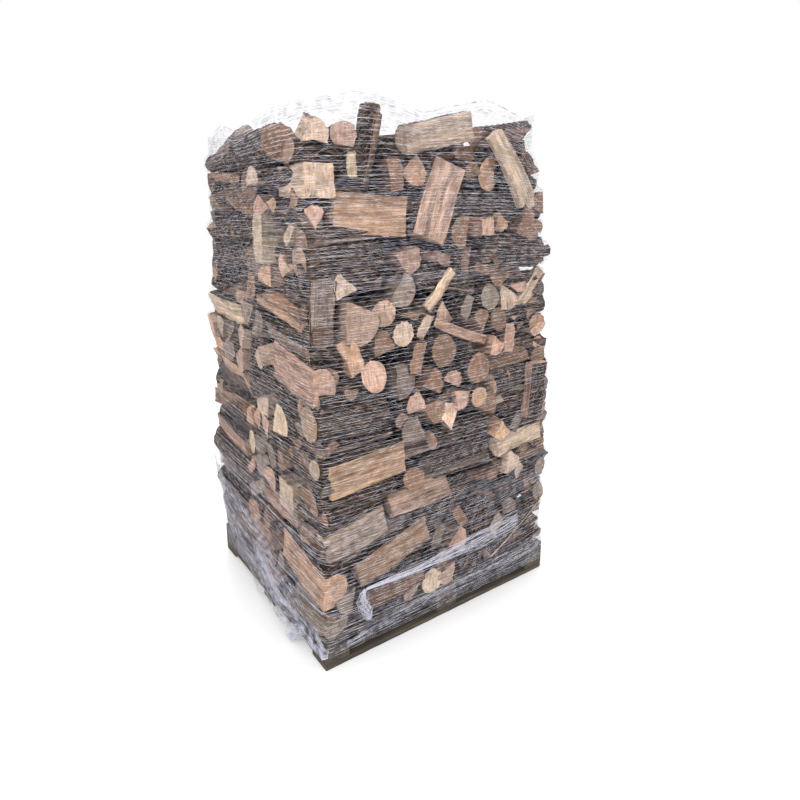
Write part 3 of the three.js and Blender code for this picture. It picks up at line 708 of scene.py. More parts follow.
# %% [markdown]
# At each place on a face a handful of logs is tried, most of them lying along the face, some
# with an end towards it and a few steep. The one that overlaps the others least is kept, if
# it overlaps them little enough.


# %% Trying logs at one place
def drawn(x, column, spread):
    """A value about 0 from two random numbers, more often near 0 than far from it."""
    return spread * (x[:, column] + x[:, column + 1] - 1)


def logs_to_try(size, face, place, seed):
    """As many logs as are tried at one place on a face, or on top where the face is -1."""
    x = seeded(seed, TRIES, 19)
    low, high = size["radius"]
    radius = low + (high - low) * x[:, 0]
    end_on = x[:, 2] < size["ends"]
    turn = np.where(end_on, 90, 0) + drawn(x, 3, TURN_SPREAD)
    spread = np.where(end_on, TILT_SPREAD["end on"], TILT_SPREAD["lying"])
    steep = STEEP_TILT + drawn(x, 6, STEEP_SPREAD)
    tilt = np.where(x[:, 5] < STEEP_SHARE, steep, drawn(x, 6, spread))
    p = place[0] + drawn(x, 8, JITTER[0])
    q = place[1] + drawn(x, 10, JITTER[1])
    logs = {"length": LOG_LENGTH[0] + (LOG_LENGTH[1] - LOG_LENGTH[0]) * x[:, 1], "radius": radius,
            "kind": DRAWN_KINDS[(x[:, 13] * 7).astype(int)], "roll": 360 * x[:, 14],
            "skew": np.stack([drawn(x, 15, SKEW_SPREAD), drawn(x, 17, SKEW_SPREAD)], 1),
            "face": np.full(TRIES, face), "rim": np.zeros(TRIES), "middle": np.zeros((TRIES, 3))}
    if face < 0:
        logs["middle"] = np.stack([p, q, PILE_TOP - radius - size["behind"]], 1)
        logs["axis"] = direction(360 * x[:, 12], tilt / 3)
        return logs
    logs["axis"] = direction(90 * face + turn, tilt)
    out = OUTWARD[face]
    depth = (end_corners(logs) @ out).max(1)
    height = np.maximum(q, DECK_TOP + radius)
    inner = np.abs(logs["axis"] @ out) * half_axis(logs)
    logs["rim"] = depth + size["behind"] - inner
    far = wall(face, height) + bulge(face, p, height) - size["behind"] - depth
    logs["middle"] = SIDEWAYS[face] * p[:, None] + out * far[:, None] + UPWARD * height[:, None]
    return logs


def best_fit(pile, size, face, place, seed):
    """The log that fits best at a place, or none if the place is taken or nothing fits."""
    if face < 0:
        spot = np.array([place[0], place[1], PILE_TOP - size["behind"] - SPOT_DEPTH])
    else:
        far = wall(face, place[1]) - size["behind"] - SPOT_DEPTH
        spot = SIDEWAYS[face] * place[0] + OUTWARD[face] * far + UPWARD * place[1]
    reach = half_axis(pile)
    gap = spot - pile["middle"]
    s = np.clip((gap * pile["axis"]).sum(1), -reach, reach)
    if (np.linalg.norm(gap - pile["axis"] * s[:, None], axis=1) < pile["radius"]).any():
        return None
    logs = logs_to_try(size, face, place, seed)
    half = half_axis(logs)[:, None]
    tips = np.stack([logs["middle"] + end * logs["axis"] * half for end in (-1, 1)], 1)
    outside = np.max([tips @ OUTWARD[f] + 0.6 * logs["radius"][:, None] - wall(f, tips[..., 2])
                      for f in range(4)], axis=(0, 2))
    near = np.linalg.norm(pile["middle"] - logs["middle"].mean(0), axis=1) < REACH
    tried = {name: logs[name][:, None] for name in COLUMNS}
    others = {name: pile[name][near][None] for name in COLUMNS}
    cost = np.maximum(contact(tried, others)[3].max(1, initial=-1e9), outside - 20)
    best = int(np.argmin(cost))
    return pick(logs, [best]) if cost[best] < FIT * logs["radius"][best] else None


print("up to", TRIES, "logs are tried at each place")

# %% [markdown]
# Settling moves every loose log a little, many times over. Overlapping logs push each other
# apart, more strongly when the other one is fixed, and the faces, deck and top hold them in.


# %% Letting the pile settle
def push(logs, moves, turns, index, move, s):
    """Notes a push on each log at a place along its axis, as part move and part turn."""
    spin = logs["length"][index] ** 2 / 12 + s * s
    np.add.at(moves, index, move * (1 - s * s / spin)[:, None])
    np.add.at(turns, index, move * (s / spin)[:, None])


def hold_in(logs, moves, turns, loose, slack=10, pull=0.2):
    """Pushes logs back inside the faces, and draws outer ones back out to their own face."""
    for end in (-1, 1):
        s = end * half_axis(logs)[loose]
        tip = logs["middle"][loose] + logs["axis"][loose] * s[:, None]
        for face in range(4):
            out = OUTWARD[face]
            facing = logs["axis"][loose] @ out
            across = np.linalg.norm(np.cross(logs["axis"][loose], out), axis=1)
            mine = logs["face"][loose] == face
            rim = np.where(mine, logs["rim"][loose], (0.3 + 0.7 * across) * logs["radius"][loose])
            over = tip @ out + rim - wall(face, tip[:, 2]) - bulge(face, tip @ SIDEWAYS[face], tip[:, 2])
            drawn_out = mine & ((across > 0.7) | (end * facing > 0)) & (over < -slack)
            amount = np.where(over > 0, -0.5 * over, np.where(drawn_out, -pull * (over + slack), 0))
            push(logs, moves, turns, loose, out * amount[:, None], s)
        low = np.maximum(0, DECK_TOP + 2 + logs["radius"][loose] - tip[:, 2])
        high = np.maximum(0, tip[:, 2] + logs["radius"][loose] - PILE_TOP)
        push(logs, moves, turns, loose, UPWARD * (0.5 * (low - high))[:, None], s)


def settle(logs, fixed, steps=24, sink=0.3):
    """Moves all logs but the first few, which are fixed."""
    count = len(logs["length"])
    loose = np.arange(fixed, count)
    for step in range(steps):
        if step % 10 == 0:
            apart = np.linalg.norm(logs["middle"][:, None] - logs["middle"][None], axis=2)
            near = apart < (logs["length"][:, None] + logs["length"][None]) / 2 + 120
            first, second = np.nonzero(np.triu(near, 1))
            first, second = first[second >= fixed], second[second >= fixed]
        moves, turns = np.zeros((count, 3)), np.zeros((count, 3))
        if step < 0.6 * steps:
            moves[:, 2] = -sink
        s, t, way, depth = contact(pick(logs, first), pick(logs, second))
        hit = depth > 0
        a, b = first[hit], second[hit]
        move = way[hit] * (depth[hit] * np.where(a < fixed, 0.6, 0.3))[:, None]
        push(logs, moves, turns, a, move, s[hit])
        push(logs, moves, turns, b, -move, t[hit])
        hold_in(logs, moves, turns, loose)
        logs["middle"][loose] += moves[loose]
        logs["axis"][loose] += turns[loose]
        logs["axis"][loose] /= np.linalg.norm(logs["axis"][loose], axis=1)[:, None]


print("settling is ready")

# %% [markdown]
# Now the pile is filled. Each size of log goes over all four faces and the top before the pile
# settles. Last, the few that ended up too deep inside another log are left out.

# %% Filling the pile
ABOVE_DECK = 45  # how far the places keep from the deck, the top and the corners
BELOW_TOP = 40
MARGIN = 60
TOP_GRID = (100, 92)
TOP_PLACES = (9, 8)
TOP_SEED = 900000

fixed_count = len(node_logs["length"])
pile = {name: values.copy() for name, values in node_logs.items()}


def try_place(size, face, place, seed):
    global pile
    found = best_fit(pile, size, face, place, seed)
    if found:
        pile = together(pile, found)


def fill_faces(size, layer, grid, above_deck, below_top, margin, first_seed=0):
    """Tries a log of one size at every place of a grid over all four faces."""
    for face in range(4):
        limit = HALF[face] - margin
        for row in range(math.ceil((PILE_TOP - below_top - DECK_TOP - above_deck) / grid[1])):
            for column in range(2 * limit // grid[0] + 1):
                spot = (grid[0] * column - limit, DECK_TOP + above_deck + grid[1] * row)
                seed = first_seed + ((layer * 4 + face) * 100 + row) * 100 + column
                try_place(size, face, spot, seed)


for layer, size in enumerate(SIZES):
    fill_faces(size, layer, GRID, ABOVE_DECK, BELOW_TOP, MARGIN)
    for row in range(TOP_PLACES[1]):
        for column in range(TOP_PLACES[0]):
            spot = (TOP_GRID[0] * (column - 4), TOP_GRID[1] * (row - 3.5))
            try_place(size, -1, spot, TOP_SEED + layer * 10000 + row * 100 + column)
    settle(pile, fixed_count)
    print("after size", layer + 1, len(pile["length"]) - fixed_count, "loose logs")


def without_clashes(logs, fixed, most=16):
    """The loose logs that overlap none of the logs before them by so many millimetres."""
    kept = list(range(fixed))
    for i in range(fixed, len(logs["length"])):
        if (contact(pick(logs, [i]), pick(logs, kept))[3] < most).all():
            kept.append(i)
    return pick(logs, kept[fixed:])


loose_logs = without_clashes(pile, fixed_count)
print(len(loose_logs["length"]), "loose logs are kept")

# %% [markdown]
# Between the logs that stand out there are thinner ones that fill the holes, above all at the
# corners, where one could otherwise look through the pile. They are laid a little further in.

# %% Small logs in the holes
CORNER_STEP = 60
CORNER_LOG = {"radius": 42, "length": 235}
CORNER_BEHIND = (16, 80)
CORNER_TURN = 9
CORNER_TILT = 6
CORNER_SKEW = 0.1
HOLE_GRID = (52, 54)
HOLE_ABOVE_DECK = 30
HOLE_MARGIN = 26
HOLE_SEED = 3000000
HOLE_SIZES = [
    {"radius": (30, 42), "ends": 0.1, "behind": 34},
    {"radius": (22, 32), "ends": 0.25, "behind": 14},
]

outer_count = fixed_count + len(loose_logs["length"])
pile = together(node_logs, loose_logs)
for layer, size in enumerate(HOLE_SIZES):
    fill_faces(size, layer, HOLE_GRID, HOLE_ABOVE_DECK, BELOW_TOP, HOLE_MARGIN, HOLE_SEED)
small_logs = pick(pile, list(range(outer_count, len(pile["length"]))))
print(len(small_logs["length"]), "small logs")


def corner_column(face, behind):
    """Logs lying crosswise, one on the other, up the corner to the right of a face."""
    heights = np.arange(DECK_TOP + 50, PILE_TOP - 90, CORNER_STEP)
    count, turn = len(heights), np.arange(len(heights)) % 2
    rng = np.random.default_rng(600 + face)
    beside = (face + 1) % 4
    deep = behind + CORNER_LOG["radius"]
    half = behind + CORNER_LOG["length"] / 2
    out = wall(face, heights) - np.where(turn == 0, deep, half)
    along = wall(beside, heights) - np.where(turn == 0, half, deep)
    middle = OUTWARD[face] * out[:, None] + OUTWARD[beside] * along[:, None] + UPWARD * heights[:, None]
    heading = 90 * (face + turn) + rng.uniform(-CORNER_TURN, CORNER_TURN, count)
    return {"middle": middle,
            "axis": direction(heading, rng.uniform(-CORNER_TILT, CORNER_TILT, count)),
            "length": np.full(count, float(CORNER_LOG["length"])),
            "radius": rng.uniform(0.85, 1.1, count) * CORNER_LOG["radius"],
            "kind": DRAWN_KINDS[rng.integers(0, 7, count)],
            "roll": rng.uniform(0, 360, count),
            "skew": rng.uniform(-CORNER_SKEW, CORNER_SKEW, (count, 2)),
            "face": np.full(count, face),
            "rim": np.zeros(count)}


small_logs = together(small_logs, *[corner_column(face, CORNER_BEHIND[0]) for face in range(4)])
print(len(small_logs["length"]), "with those at the corners")

# %% [markdown]
# Through the gaps one sees more logs, further in. The CAD fills that space with solid. Here a
# few more layers of logs are laid behind, with a plainer blank because they lie in the dark.

# %% Logs further in
INNER_LAYERS = (150, 225, 300)
INNER_RADIUS = (44, 62)
INNER_GRID = (90, 82)
INNER_ABOVE_DECK = 50
INNER_SEED = 2000000

outer_count = len(pile["length"])
for layer, behind in enumerate(INNER_LAYERS):
    size = {"radius": INNER_RADIUS, "ends": 0, "behind": behind}
    fill_faces(size, layer, INNER_GRID, INNER_ABOVE_DECK, behind, behind, INNER_SEED)
inner_logs = together(pick(pile, list(range(outer_count, len(pile["length"])))),
                      *[corner_column(face, CORNER_BEHIND[1]) for face in range(4)])
print(len(inner_logs["length"]), "inner logs")

# %% [markdown]
# ## Shaping a log
# A blank becomes a log in four moves. Its ring of corners is laid on the section's outline.
# The sides get slow swellings, bark its ridges and knots, and a split face its torn fibres,
# which run along the log. The axis bends a little, and the ends are sawn slightly askew.


# %% Waves and log shapes
ANY_PHASE = (0, 6.28)
SWELLING = 0.05  # shares of the radius
TAPER = 0.07
THINNER = 0.05
KNOTTED_SHARE = 0.6
KNOT_HEIGHT = (0.06, 0.16)
FIBRE_DEPTH = 1.7  # millimetres
DIP_DEPTH = 3.5
SPLIT_INSET = 2.5
BARK_INSET = 1.5
BEVEL_DEPTH = 1.6
BEND = 0.022  # a share of the length
NEAR_END = 0.9  # past this a corner of a blank is on the bevel or on the sawn face


def waves(rng, theta, along, count, turns, runs):
    """A sum of smooth waves round and along a log, between about -1 and 1."""
    total = np.zeros_like(along)
    for _ in range(count):
        k, m, phase = rng.integers(turns[0], turns[1] + 1), rng.uniform(*runs), rng.uniform(*ANY_PHASE)
        total += np.sin(k * theta + m * along + phase)
    return total / math.sqrt(count)


def shape_log(blank, log, rng, rough=1.0):
    """One log's corners in millimetres, its places along and across its grain, and its bark."""
    kind = KINDS[log["kind"]]
    points, normals = OUTLINES[kind, blank["sides"]]
    points, normals = points[blank["side"]], normals[blank["side"]]
    s, inward, radius, half = blank["along"], blank["inward"], log["radius"], log["length"] / 2
    theta = np.arctan2(points[:, 1], points[:, 0])
    split = (np.abs(normals).sum(1) > 0).astype(float)
    girth = 0.98 + SWELLING * waves(rng, theta, s, 3, (1, 3), (-2, 2)) + rng.uniform(-TAPER, TAPER) * s
    girth -= THINNER * rng.random() * (1 - split)
    flat = points * (radius * girth * inward)[:, None]
    bumps = (1 - split) * (1.5 * waves(rng, theta, s * half / 30, 5, (5, 14), (-2, 2))
                           + 1.1 * waves(rng, theta, s * half / 9, 4, (9, 26), (-3, 3)))
    if kind in ("round", "half") and rng.random() < KNOTTED_SHARE:
        turned = (theta - rng.uniform(-3.1, 3.1) + math.pi) % (2 * math.pi) - math.pi
        knot = np.exp(-(turned / 0.5) ** 2 - ((s - rng.uniform(-0.7, 0.7)) * half / 24) ** 2)
        bumps += (1 - split) * knot * radius * rng.uniform(*KNOT_HEIGHT)
    lane = (points @ np.array([0.6, 0.8])) * radius
    torn = sum(rng.uniform(0.5, 1.0) * np.sin(lane / rng.uniform(2.5, 16) + rng.uniform(*ANY_PHASE)
                                              + 0.9 * np.sin(s * rng.uniform(1, 4) + rng.uniform(*ANY_PHASE)))
               for _ in range(6)) / 2.2
    dip = DIP_DEPTH * waves(rng, theta, s, 2, (0, 1), (-5, 5))
    ridge = bumps - BARK_INSET + split * (FIBRE_DEPTH * torn + dip - SPLIT_INSET)
    outward = points / np.maximum(np.linalg.norm(points, axis=1), 1e-6)[:, None]
    outward = np.where(split[:, None] > 0, normals, outward)
    flat += outward * (rough * ridge * np.minimum(inward, 1) ** 6)[:, None]
    flat += (1 - s ** 2)[:, None] * rng.uniform(-BEND, BEND, 2) * log["length"]
    c, n = math.cos(math.radians(log["roll"])), math.sin(math.radians(log["roll"]))
    flat = flat @ np.array([[c, n], [-n, c]])
    near_end, cap = np.abs(s) > NEAR_END, np.abs(s) > AT_END
    rim = near_end & (np.abs(s) < AT_END)
    reach = np.where(rim, np.sign(s) * (half - BEVEL_DEPTH), s * half)
    reach = reach + near_end * (flat @ log["skew"])
    reach -= cap * np.sign(s) * rough * (0.8 + 0.8 * waves(rng, theta, s, 3, (2, 9), (-1, 1)) * inward)
    flat_axes = np.stack([log["side"], log["rise"]])
    corners = log["middle"] + flat @ flat_axes + reach[:, None] * log["axis"]
    grain = np.column_stack([reach, flat]) / 1000
    return corners, grain, 1 - split


print("shapes ready")

# %% [markdown]
# Many logs are joined in one mesh, with the attributes that the wood finishes read. The faces
# of the sawn ends take the end finish, and all the rest takes the side finish.

# %% Joining shaped logs in one mesh
WOOD = {
    "cream": (0.80, 0.61, 0.45),
    "orange": (0.72, 0.455, 0.29),
    "pink": (0.66, 0.43, 0.325),
    "brown": (0.33, 0.20, 0.13),
    "grey": (0.34, 0.265, 0.215),
    "bark": (0.52, 0.35, 0.24),
}
SHARE = {"cream": 0.1, "orange": 0.13, "pink": 0.2, "brown": 0.37, "grey": 0.2}
DARKER_OR_LIGHTER = (0.72, 1.15)
OTHER_HUE = (0.975, 1.025)
SMOOTH_BELOW = math.radians(42)


def set_attribute(mesh, name, kind, values):
    field = {"FLOAT": "value", "FLOAT_VECTOR": "vector", "FLOAT_COLOR": "color"}[kind]
    layer = mesh.attributes.new(name, kind, "POINT")
    layer.data.foreach_set(field, np.ascontiguousarray(values, np.float32).ravel())


def add_mesh(name, corners, faces):
    """A mesh object at the origin, from corners in millimetres."""
    mesh = bpy.data.meshes.new(name)
    mesh.from_pydata([], [], [])
    mesh.vertices.add(len(corners))
    mesh.vertices.foreach_set("co", np.ascontiguousarray(corners / 1000, np.float32).ravel())
    mesh.loops.add(3 * len(faces))
    mesh.loops.foreach_set("vertex_index", faces.ravel().astype(np.int32))
    mesh.polygons.add(len(faces))
    mesh.polygons.foreach_set("loop_start", np.arange(0, 3 * len(faces), 3, dtype=np.int32))
    mesh.update(calc_edges=True)
    piece = bpy.data.objects.new(name, mesh)
    bpy.context.collection.objects.link(piece)
    return piece


def log_piece(name, blank, logs, woods, seed, rough=1.0, light=1.0):
    """Shapes every log of a group on the blank, and joins them in one piece."""
    side, rise = cross_axes(logs)
    count = len(blank["along"])
    corners, grains, barks, tones, seeds = [], [], [], [], []
    for i, wood in enumerate(woods):
        rng = np.random.default_rng(seed + i)
        log = {column: logs[column][i] for column in COLUMNS}
        log["side"], log["rise"] = side[i], rise[i]
        shaped, grain, bark = shape_log(blank, log, rng, rough)
        corners.append(shaped)
        grains.append(grain)
        barks.append(bark)
        # Painted shade: a light below 1 darkens the wood's colour, for the logs that lie in the shaded holes and
        # further in.
        shade = light * rng.uniform(*DARKER_OR_LIGHTER) * np.array(WOOD[wood]) * rng.uniform(*OTHER_HUE, 3)
        tones.append(np.tile([*shade, 1.0], (count, 1)))
        seeds.append(np.full(count, rng.uniform(0, 200)))
    faces = np.concatenate([blank["faces"] + i * count for i in range(len(woods))])
    piece = add_mesh(name, np.concatenate(corners), faces)
    mesh = piece.data
    set_attribute(mesh, "grain", "FLOAT_VECTOR", np.concatenate(grains))
    set_attribute(mesh, "bark", "FLOAT", np.concatenate(barks))
    set_attribute(mesh, "tone", "FLOAT_COLOR", np.concatenate(tones))
    set_attribute(mesh, "seed", "FLOAT", np.concatenate(seeds))
    mesh.materials.append(log_side)
    mesh.materials.append(log_end)
    at_end = (np.abs(blank["along"])[blank["faces"]].min(1) > AT_END).astype(np.int32)
    mesh.polygons.foreach_set("material_index", np.tile(at_end, len(woods)))
    bpy.ops.object.select_all(action="DESELECT")
    piece.select_set(True)
    bpy.context.view_layer.objects.active = piece
    bpy.ops.object.shade_smooth_by_angle(angle=SMOOTH_BELOW)
    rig.ride(piece, "root")
    return piece


# %% [markdown]
# Each log that has a node of its own becomes a piece of its own, from the fine blank. The
# loose logs are joined in groups, one for each face and one for the top. The small ones in
# the holes and the inner ones lie in the dark, so they are rougher, and their wood's colour is darkened as painted
# shade of the gaps.

# %% Logs with a node of their own
NODE_LOG_ROUGHNESS = 1.2

for i, (name, row) in enumerate(NODE_LOGS.items()):
    piece = log_piece(name + "_wood", fine_blank, pick(node_logs, [i]), [row[5]], 100 + 7 * i,
                      rough=NODE_LOG_ROUGHNESS)
    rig.replaces(piece, name)
    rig.slot(piece, slot_of[name])
print(len(NODE_LOGS), "logs of", len(fine_blank["faces"]), "triangles")

# %% Loose logs
# Painted shade: the small logs in the holes and the inner logs get their wood's colour darkened to these shares, for
# the shade of the gaps they lie in.
SMALL_PAINTED_SHADE = 0.55  # painted shade: the wood's colour is darkened to this share
INNER_PAINTED_SHADE = 0.2

chooser = np.random.default_rng(5)


def some_woods(count):
    return list(chooser.choice(list(SHARE), count, p=list(SHARE.values())))


loose_pieces = []
for name, face in {**FACES, "top": -1}.items():
    group = pick(loose_logs, loose_logs["face"] == face)
    woods = some_woods(len(group["length"]))
    piece = log_piece(f"loose_logs_{name}", plain_blank, group, woods, 5000 + 1000 * face)
    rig.slot(piece, "brown_wood")
    loose_pieces.append(piece)
    print(piece.name, len(woods), "logs,", len(piece.data.polygons), "triangles")
small = log_piece("loose_logs_small", rough_blank, small_logs, some_woods(len(small_logs["length"])), 15000,
                  light=SMALL_PAINTED_SHADE)
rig.slot(small, "brown_wood")
inner = log_piece("inner_logs", rough_blank, inner_logs, some_woods(len(inner_logs["length"])), 20000,
                  light=INNER_PAINTED_SHADE)
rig.slot(inner, "brown_wood")
print(small.name, len(small.data.polygons), "triangles")
for piece in (*loose_pieces, small, inner):
    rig.replaces(piece, "heap_of_logs")
print(inner.name, len(inner.data.polygons), "triangles")

# %% [markdown]
# ## Pallet
# The boards are rough-sawn and weathered dark. Each starts as a cube at its node's box. Its
# edges are bevelled, it is cut across many times, and its corners are moved a little so that
# no edge is dead straight. The finish is grey-brown with grain along the board.

# %% Pallet finish
PALLET_DARK = (0.035, 0.028, 0.022)
PALLET_PALE = (0.20, 0.165, 0.13)
PALLET_BLOTCH = (0.05, 0.042, 0.035, 1)

pallet_finish, pallet_shader = new_material("pallet_wood", 0.88)
place, seed = grain_sockets(pallet_finish)
lines = noise(pallet_finish, place, (5, 130, 130), seed, 5, 0.7)
blotches = noise(pallet_finish, place, (6, 12, 12), seed, 3, 0.6)
boards = ramp(pallet_finish, lines, (0.3, PALLET_DARK), (0.7, PALLET_PALE))
stained = ramp(pallet_finish, blotches, (0.4, 0.0), (0.75, 0.7))
boards = blend_colours(pallet_finish, stained, boards, PALLET_BLOTCH)
link(pallet_finish, boards, pallet_shader.inputs["Base Color"])
bump = add_node(pallet_finish, "Bump", {"Height": lines, "Strength": 0.8, "Distance": 0.003})
link(pallet_finish, bump.outputs[0], pallet_shader.inputs["Normal"])
print("pallet finish ready")


# %% Pallet boards
BOARD_BEVEL = 0.003
BOARD_CUTS = 33
BOARD_WEAR = 0.0006
BOARD_SMOOTH_BELOW = math.radians(40)


def board_piece(name, index):
    """One board: a cube at its node's box, bevelled, cut across and worn a little."""
    low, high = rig.box(name)
    size, middle = high - low, (high + low) / 2
    bpy.ops.object.select_all(action="DESELECT")
    bpy.ops.mesh.primitive_cube_add(size=1, location=middle, scale=size)
    piece = bpy.context.object
    piece.name = name + "_board"
    bpy.ops.object.transform_apply(location=True, rotation=True, scale=True)
    bpy.ops.object.mode_set(mode="EDIT")
    bpy.ops.mesh.select_all(action="SELECT")
    bpy.ops.mesh.bevel(offset=BOARD_BEVEL, segments=2, affect="EDGES")
    bpy.ops.object.mode_set(mode="OBJECT")
    long_way = 0 if size.x > size.y else 1
    for share in np.linspace(-0.48, 0.48, BOARD_CUTS):
        cut = [0, 0, 0]
        cut[long_way] = 1
        at = [0, 0, 0]
        at[long_way] = middle[long_way] + share * size[long_way]
        bpy.ops.object.mode_set(mode="EDIT")
        bpy.ops.mesh.select_all(action="SELECT")
        bpy.ops.mesh.bisect(plane_co=at, plane_no=cut)
        bpy.ops.object.mode_set(mode="OBJECT")
    rng = np.random.default_rng(300 + index)
    mesh = piece.data
    corners = np.array([vertex.co for vertex in mesh.vertices])
    along = corners[:, long_way]
    beside = 3 * corners.sum(1)
    wear = [sum(rng.uniform(0.2, 1) * np.sin(along * rng.uniform(4, 45) + rng.uniform(*ANY_PHASE) + beside)
                for _ in range(4)) for _ in range(3)]
    inward = np.sign(np.array(middle) - corners)
    corners += inward * np.abs(np.array(wear).T) * BOARD_WEAR
    mesh.vertices.foreach_set("co", corners.astype(np.float32).ravel())
    grain = corners[:, [long_way, 1 - long_way, 2]] - np.array([0, 0, middle.z])
    set_attribute(mesh, "grain", "FLOAT_VECTOR", grain)
    set_attribute(mesh, "seed", "FLOAT", np.full(len(corners), 3.7 * index))
    mesh.materials.append(pallet_finish)
    bpy.ops.object.shade_smooth_by_angle(angle=BOARD_SMOOTH_BELOW)
    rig.ride(piece, "root")
    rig.replaces(piece, name)
    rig.slot(piece, slot_of[name])


pallet_nodes = [name for name in frame["nodes"] if name.startswith("pallet_")]
for index, name in enumerate(pallet_nodes):
    board_piece(name, index)
print(len(pallet_nodes), "pallet boards")

# %% [markdown]
# ## Net
# Pallet net is knitted: chains of thread run round the stack, and thinner threads zigzag from
# one chain to the next. Wound on under tension, it touches only what sticks out furthest, and
# is flat in between. So at each height the pile's convex outline is found, from how far it
# reaches in many directions, and the net is laid on that outline.

# %% How far the pile reaches at each height
NET_BOTTOM = 52
NET_TOP = 1806
TENT_FROM = 1650  # above this height the net rises to the peaks and sags between them
LEVEL = 12
WINDOW = 17  # how far above and below a height the pile still holds the net out
TOP_WINDOW_FROM = 1690  # near the top the window still reaches down to here
BOTTOM_WINDOW_TO = 60  # and near the floor up to here
DIRECTIONS = 144
AROUND = 288
PALLET_HEIGHTS = range(20, 121, 10)
OUTER_SHARE = 0.78  # a log further out than this share of the net's radius holds its edge up
OUTER_LEVEL = -8  # the level, counted from the top, where that radius is taken
EDGE_LOWEST = 1640.0
EDGE_ABOVE_LOG = 6
EDGE_SLOPE = 2.1  # how fast the edge falls beside a peak, in millimetres for each step round
EDGE_CURVE = 0.055

pile_corners = np.concatenate([
    np.array([vertex.co for vertex in piece.data.vertices]) * 1000
    for piece in bpy.data.objects if piece.name.endswith("_wood") or piece.name.startswith("loose_logs")
])
pallet_corners = np.array([[x, y, z] for x in (-HALF[0], HALF[0]) for y in (-HALF[1], HALF[1])
                           for z in PALLET_HEIGHTS])
net_points = np.concatenate([pile_corners, pallet_corners])
angles = np.arange(DIRECTIONS) * 2 * math.pi / DIRECTIONS
compass = np.stack([np.cos(angles), np.sin(angles)])
levels = np.arange(NET_BOTTOM - 2 * LEVEL, PILE_TOP + 5 * LEVEL, LEVEL)
turning = np.arange(AROUND) * 2 * math.pi / AROUND


def radius_round(z):
    """The distance from the middle to the taut net, at each of many angles, at one height."""
    lowest, highest = min(z - WINDOW, TOP_WINDOW_FROM), max(z, BOTTOM_WINDOW_TO) + WINDOW
    inside = net_points[(net_points[:, 2] > lowest) & (net_points[:, 2] < highest)]
    support = (inside[:, :2] @ compass).max(0)
    facing = np.cos(turning[:, None] - angles[None])
    return np.min(np.where(facing > 0.2, support / np.maximum(facing, 0.2), 1e9), axis=1)


taut = np.array([radius_round(z) for z in levels])
print("net radius from", taut.min(), "to", taut.max())


def peak_heights():
    """How high the net's edge is at each angle: up over the outer logs, sagging in between."""
    far = np.hypot(pile_corners[:, 0], pile_corners[:, 1])
    heading = np.arctan2(pile_corners[:, 1], pile_corners[:, 0]) % (2 * math.pi)
    column = (heading / (2 * math.pi) * AROUND).astype(int) % AROUND
    outer = far > OUTER_SHARE * taut[OUTER_LEVEL][column]
    peaks = np.full(AROUND, EDGE_LOWEST)
    np.maximum.at(peaks, column[outer], pile_corners[outer, 2] + EDGE_ABOVE_LOG)
    steps = np.arange(AROUND)
    apart = np.abs((steps[:, None] - steps[None] + AROUND // 2) % AROUND - AROUND // 2)
    return (peaks[None] - EDGE_SLOPE * apart - EDGE_CURVE * apart ** 2).max(1)


edge_height = peak_heights()
print("the net's top edge is between", edge_height.min(), "and", edge_height.max())


def on_net(angle, z, lift):
    """Points on the taut net, for angles in radians and heights in millimetres."""
    place = (angle % (2 * math.pi)) / (2 * math.pi) * AROUND
    edge = np.interp(place, np.arange(AROUND + 1), np.append(edge_height, edge_height[0]))
    raised = TENT_FROM + (z - TENT_FROM) * (edge - TENT_FROM) / (NET_TOP - TENT_FROM)
    z = np.where(z > TENT_FROM, raised, z)
    row = np.clip((z - levels[0]) / LEVEL, 0, len(levels) - 1.001)
    i, j = row.astype(int), place.astype(int) % AROUND
    a, b = row - i, place - place.astype(int)
    k = (j + 1) % AROUND
    r = ((taut[i, j] * (1 - b) + taut[i, k] * b) * (1 - a)
         + (taut[i + 1, j] * (1 - b) + taut[i + 1, k] * b) * a) + lift
    return np.column_stack([r * np.cos(angle), r * np.sin(angle), z])


# %% [markdown]
# Each chain is a closed loop that drifts up and down a little as it goes round, and bunches
# with its neighbours in places. Four layers with different drifts and slopes give the crossing
# lines of net that was wound on many times. A thread is a thin tube with three sides.


# %% Tubes for threads
def tube(path, thickness, closed, sides=3):
    """Corners and faces of a thin tube along a path of points."""
    n = len(path)
    ahead = np.roll(path, -1, 0) - np.roll(path, 1, 0)
    if not closed:
        ahead[0], ahead[-1] = path[1] - path[0], path[-1] - path[-2]
    ahead /= np.maximum(np.linalg.norm(ahead, axis=1), 1e-9)[:, None]
    flat = np.where(np.abs(ahead[:, 2:]) < 0.9, [[0.0, 0, 1]], [[1.0, 0, 0]])
    side = np.cross(flat, ahead)
    side /= np.linalg.norm(side, axis=1)[:, None]
    rise = np.cross(ahead, side)
    turn = np.arange(sides) * 2 * math.pi / sides
    ring = side[:, None] * np.cos(turn)[None, :, None] + rise[:, None] * np.sin(turn)[None, :, None]
    corners = (path[:, None] + ring * thickness / 2).reshape(-1, 3)
    i = np.arange(n if closed else n - 1)[:, None]
    k = np.arange(sides)[None]
    a, b = i * sides + k, i * sides + (k + 1) % sides
    c, d = ((i + 1) % n) * sides + k, ((i + 1) % n) * sides + (k + 1) % sides
    faces = np.concatenate([np.stack(corner_numbers, -1).reshape(-1, 3)
                            for corner_numbers in ([a, b, d], [a, d, c])])
    if not closed:
        last = (n - 1) * sides
        caps = [[0, j + 1, j] for j in range(1, sides - 1)]
        caps += [[last, last + j, last + j + 1] for j in range(1, sides - 1)]
        faces = np.concatenate([faces, np.array(caps)])
    return corners, faces


def joined(parts):
    """Joins many (corners, faces) in one."""
    starts = np.cumsum([0] + [len(corners) for corners, _ in parts[:-1]])
    return (np.concatenate([corners for corners, _ in parts]),
            np.concatenate([faces + start for (_, faces), start in zip(parts, starts)]))


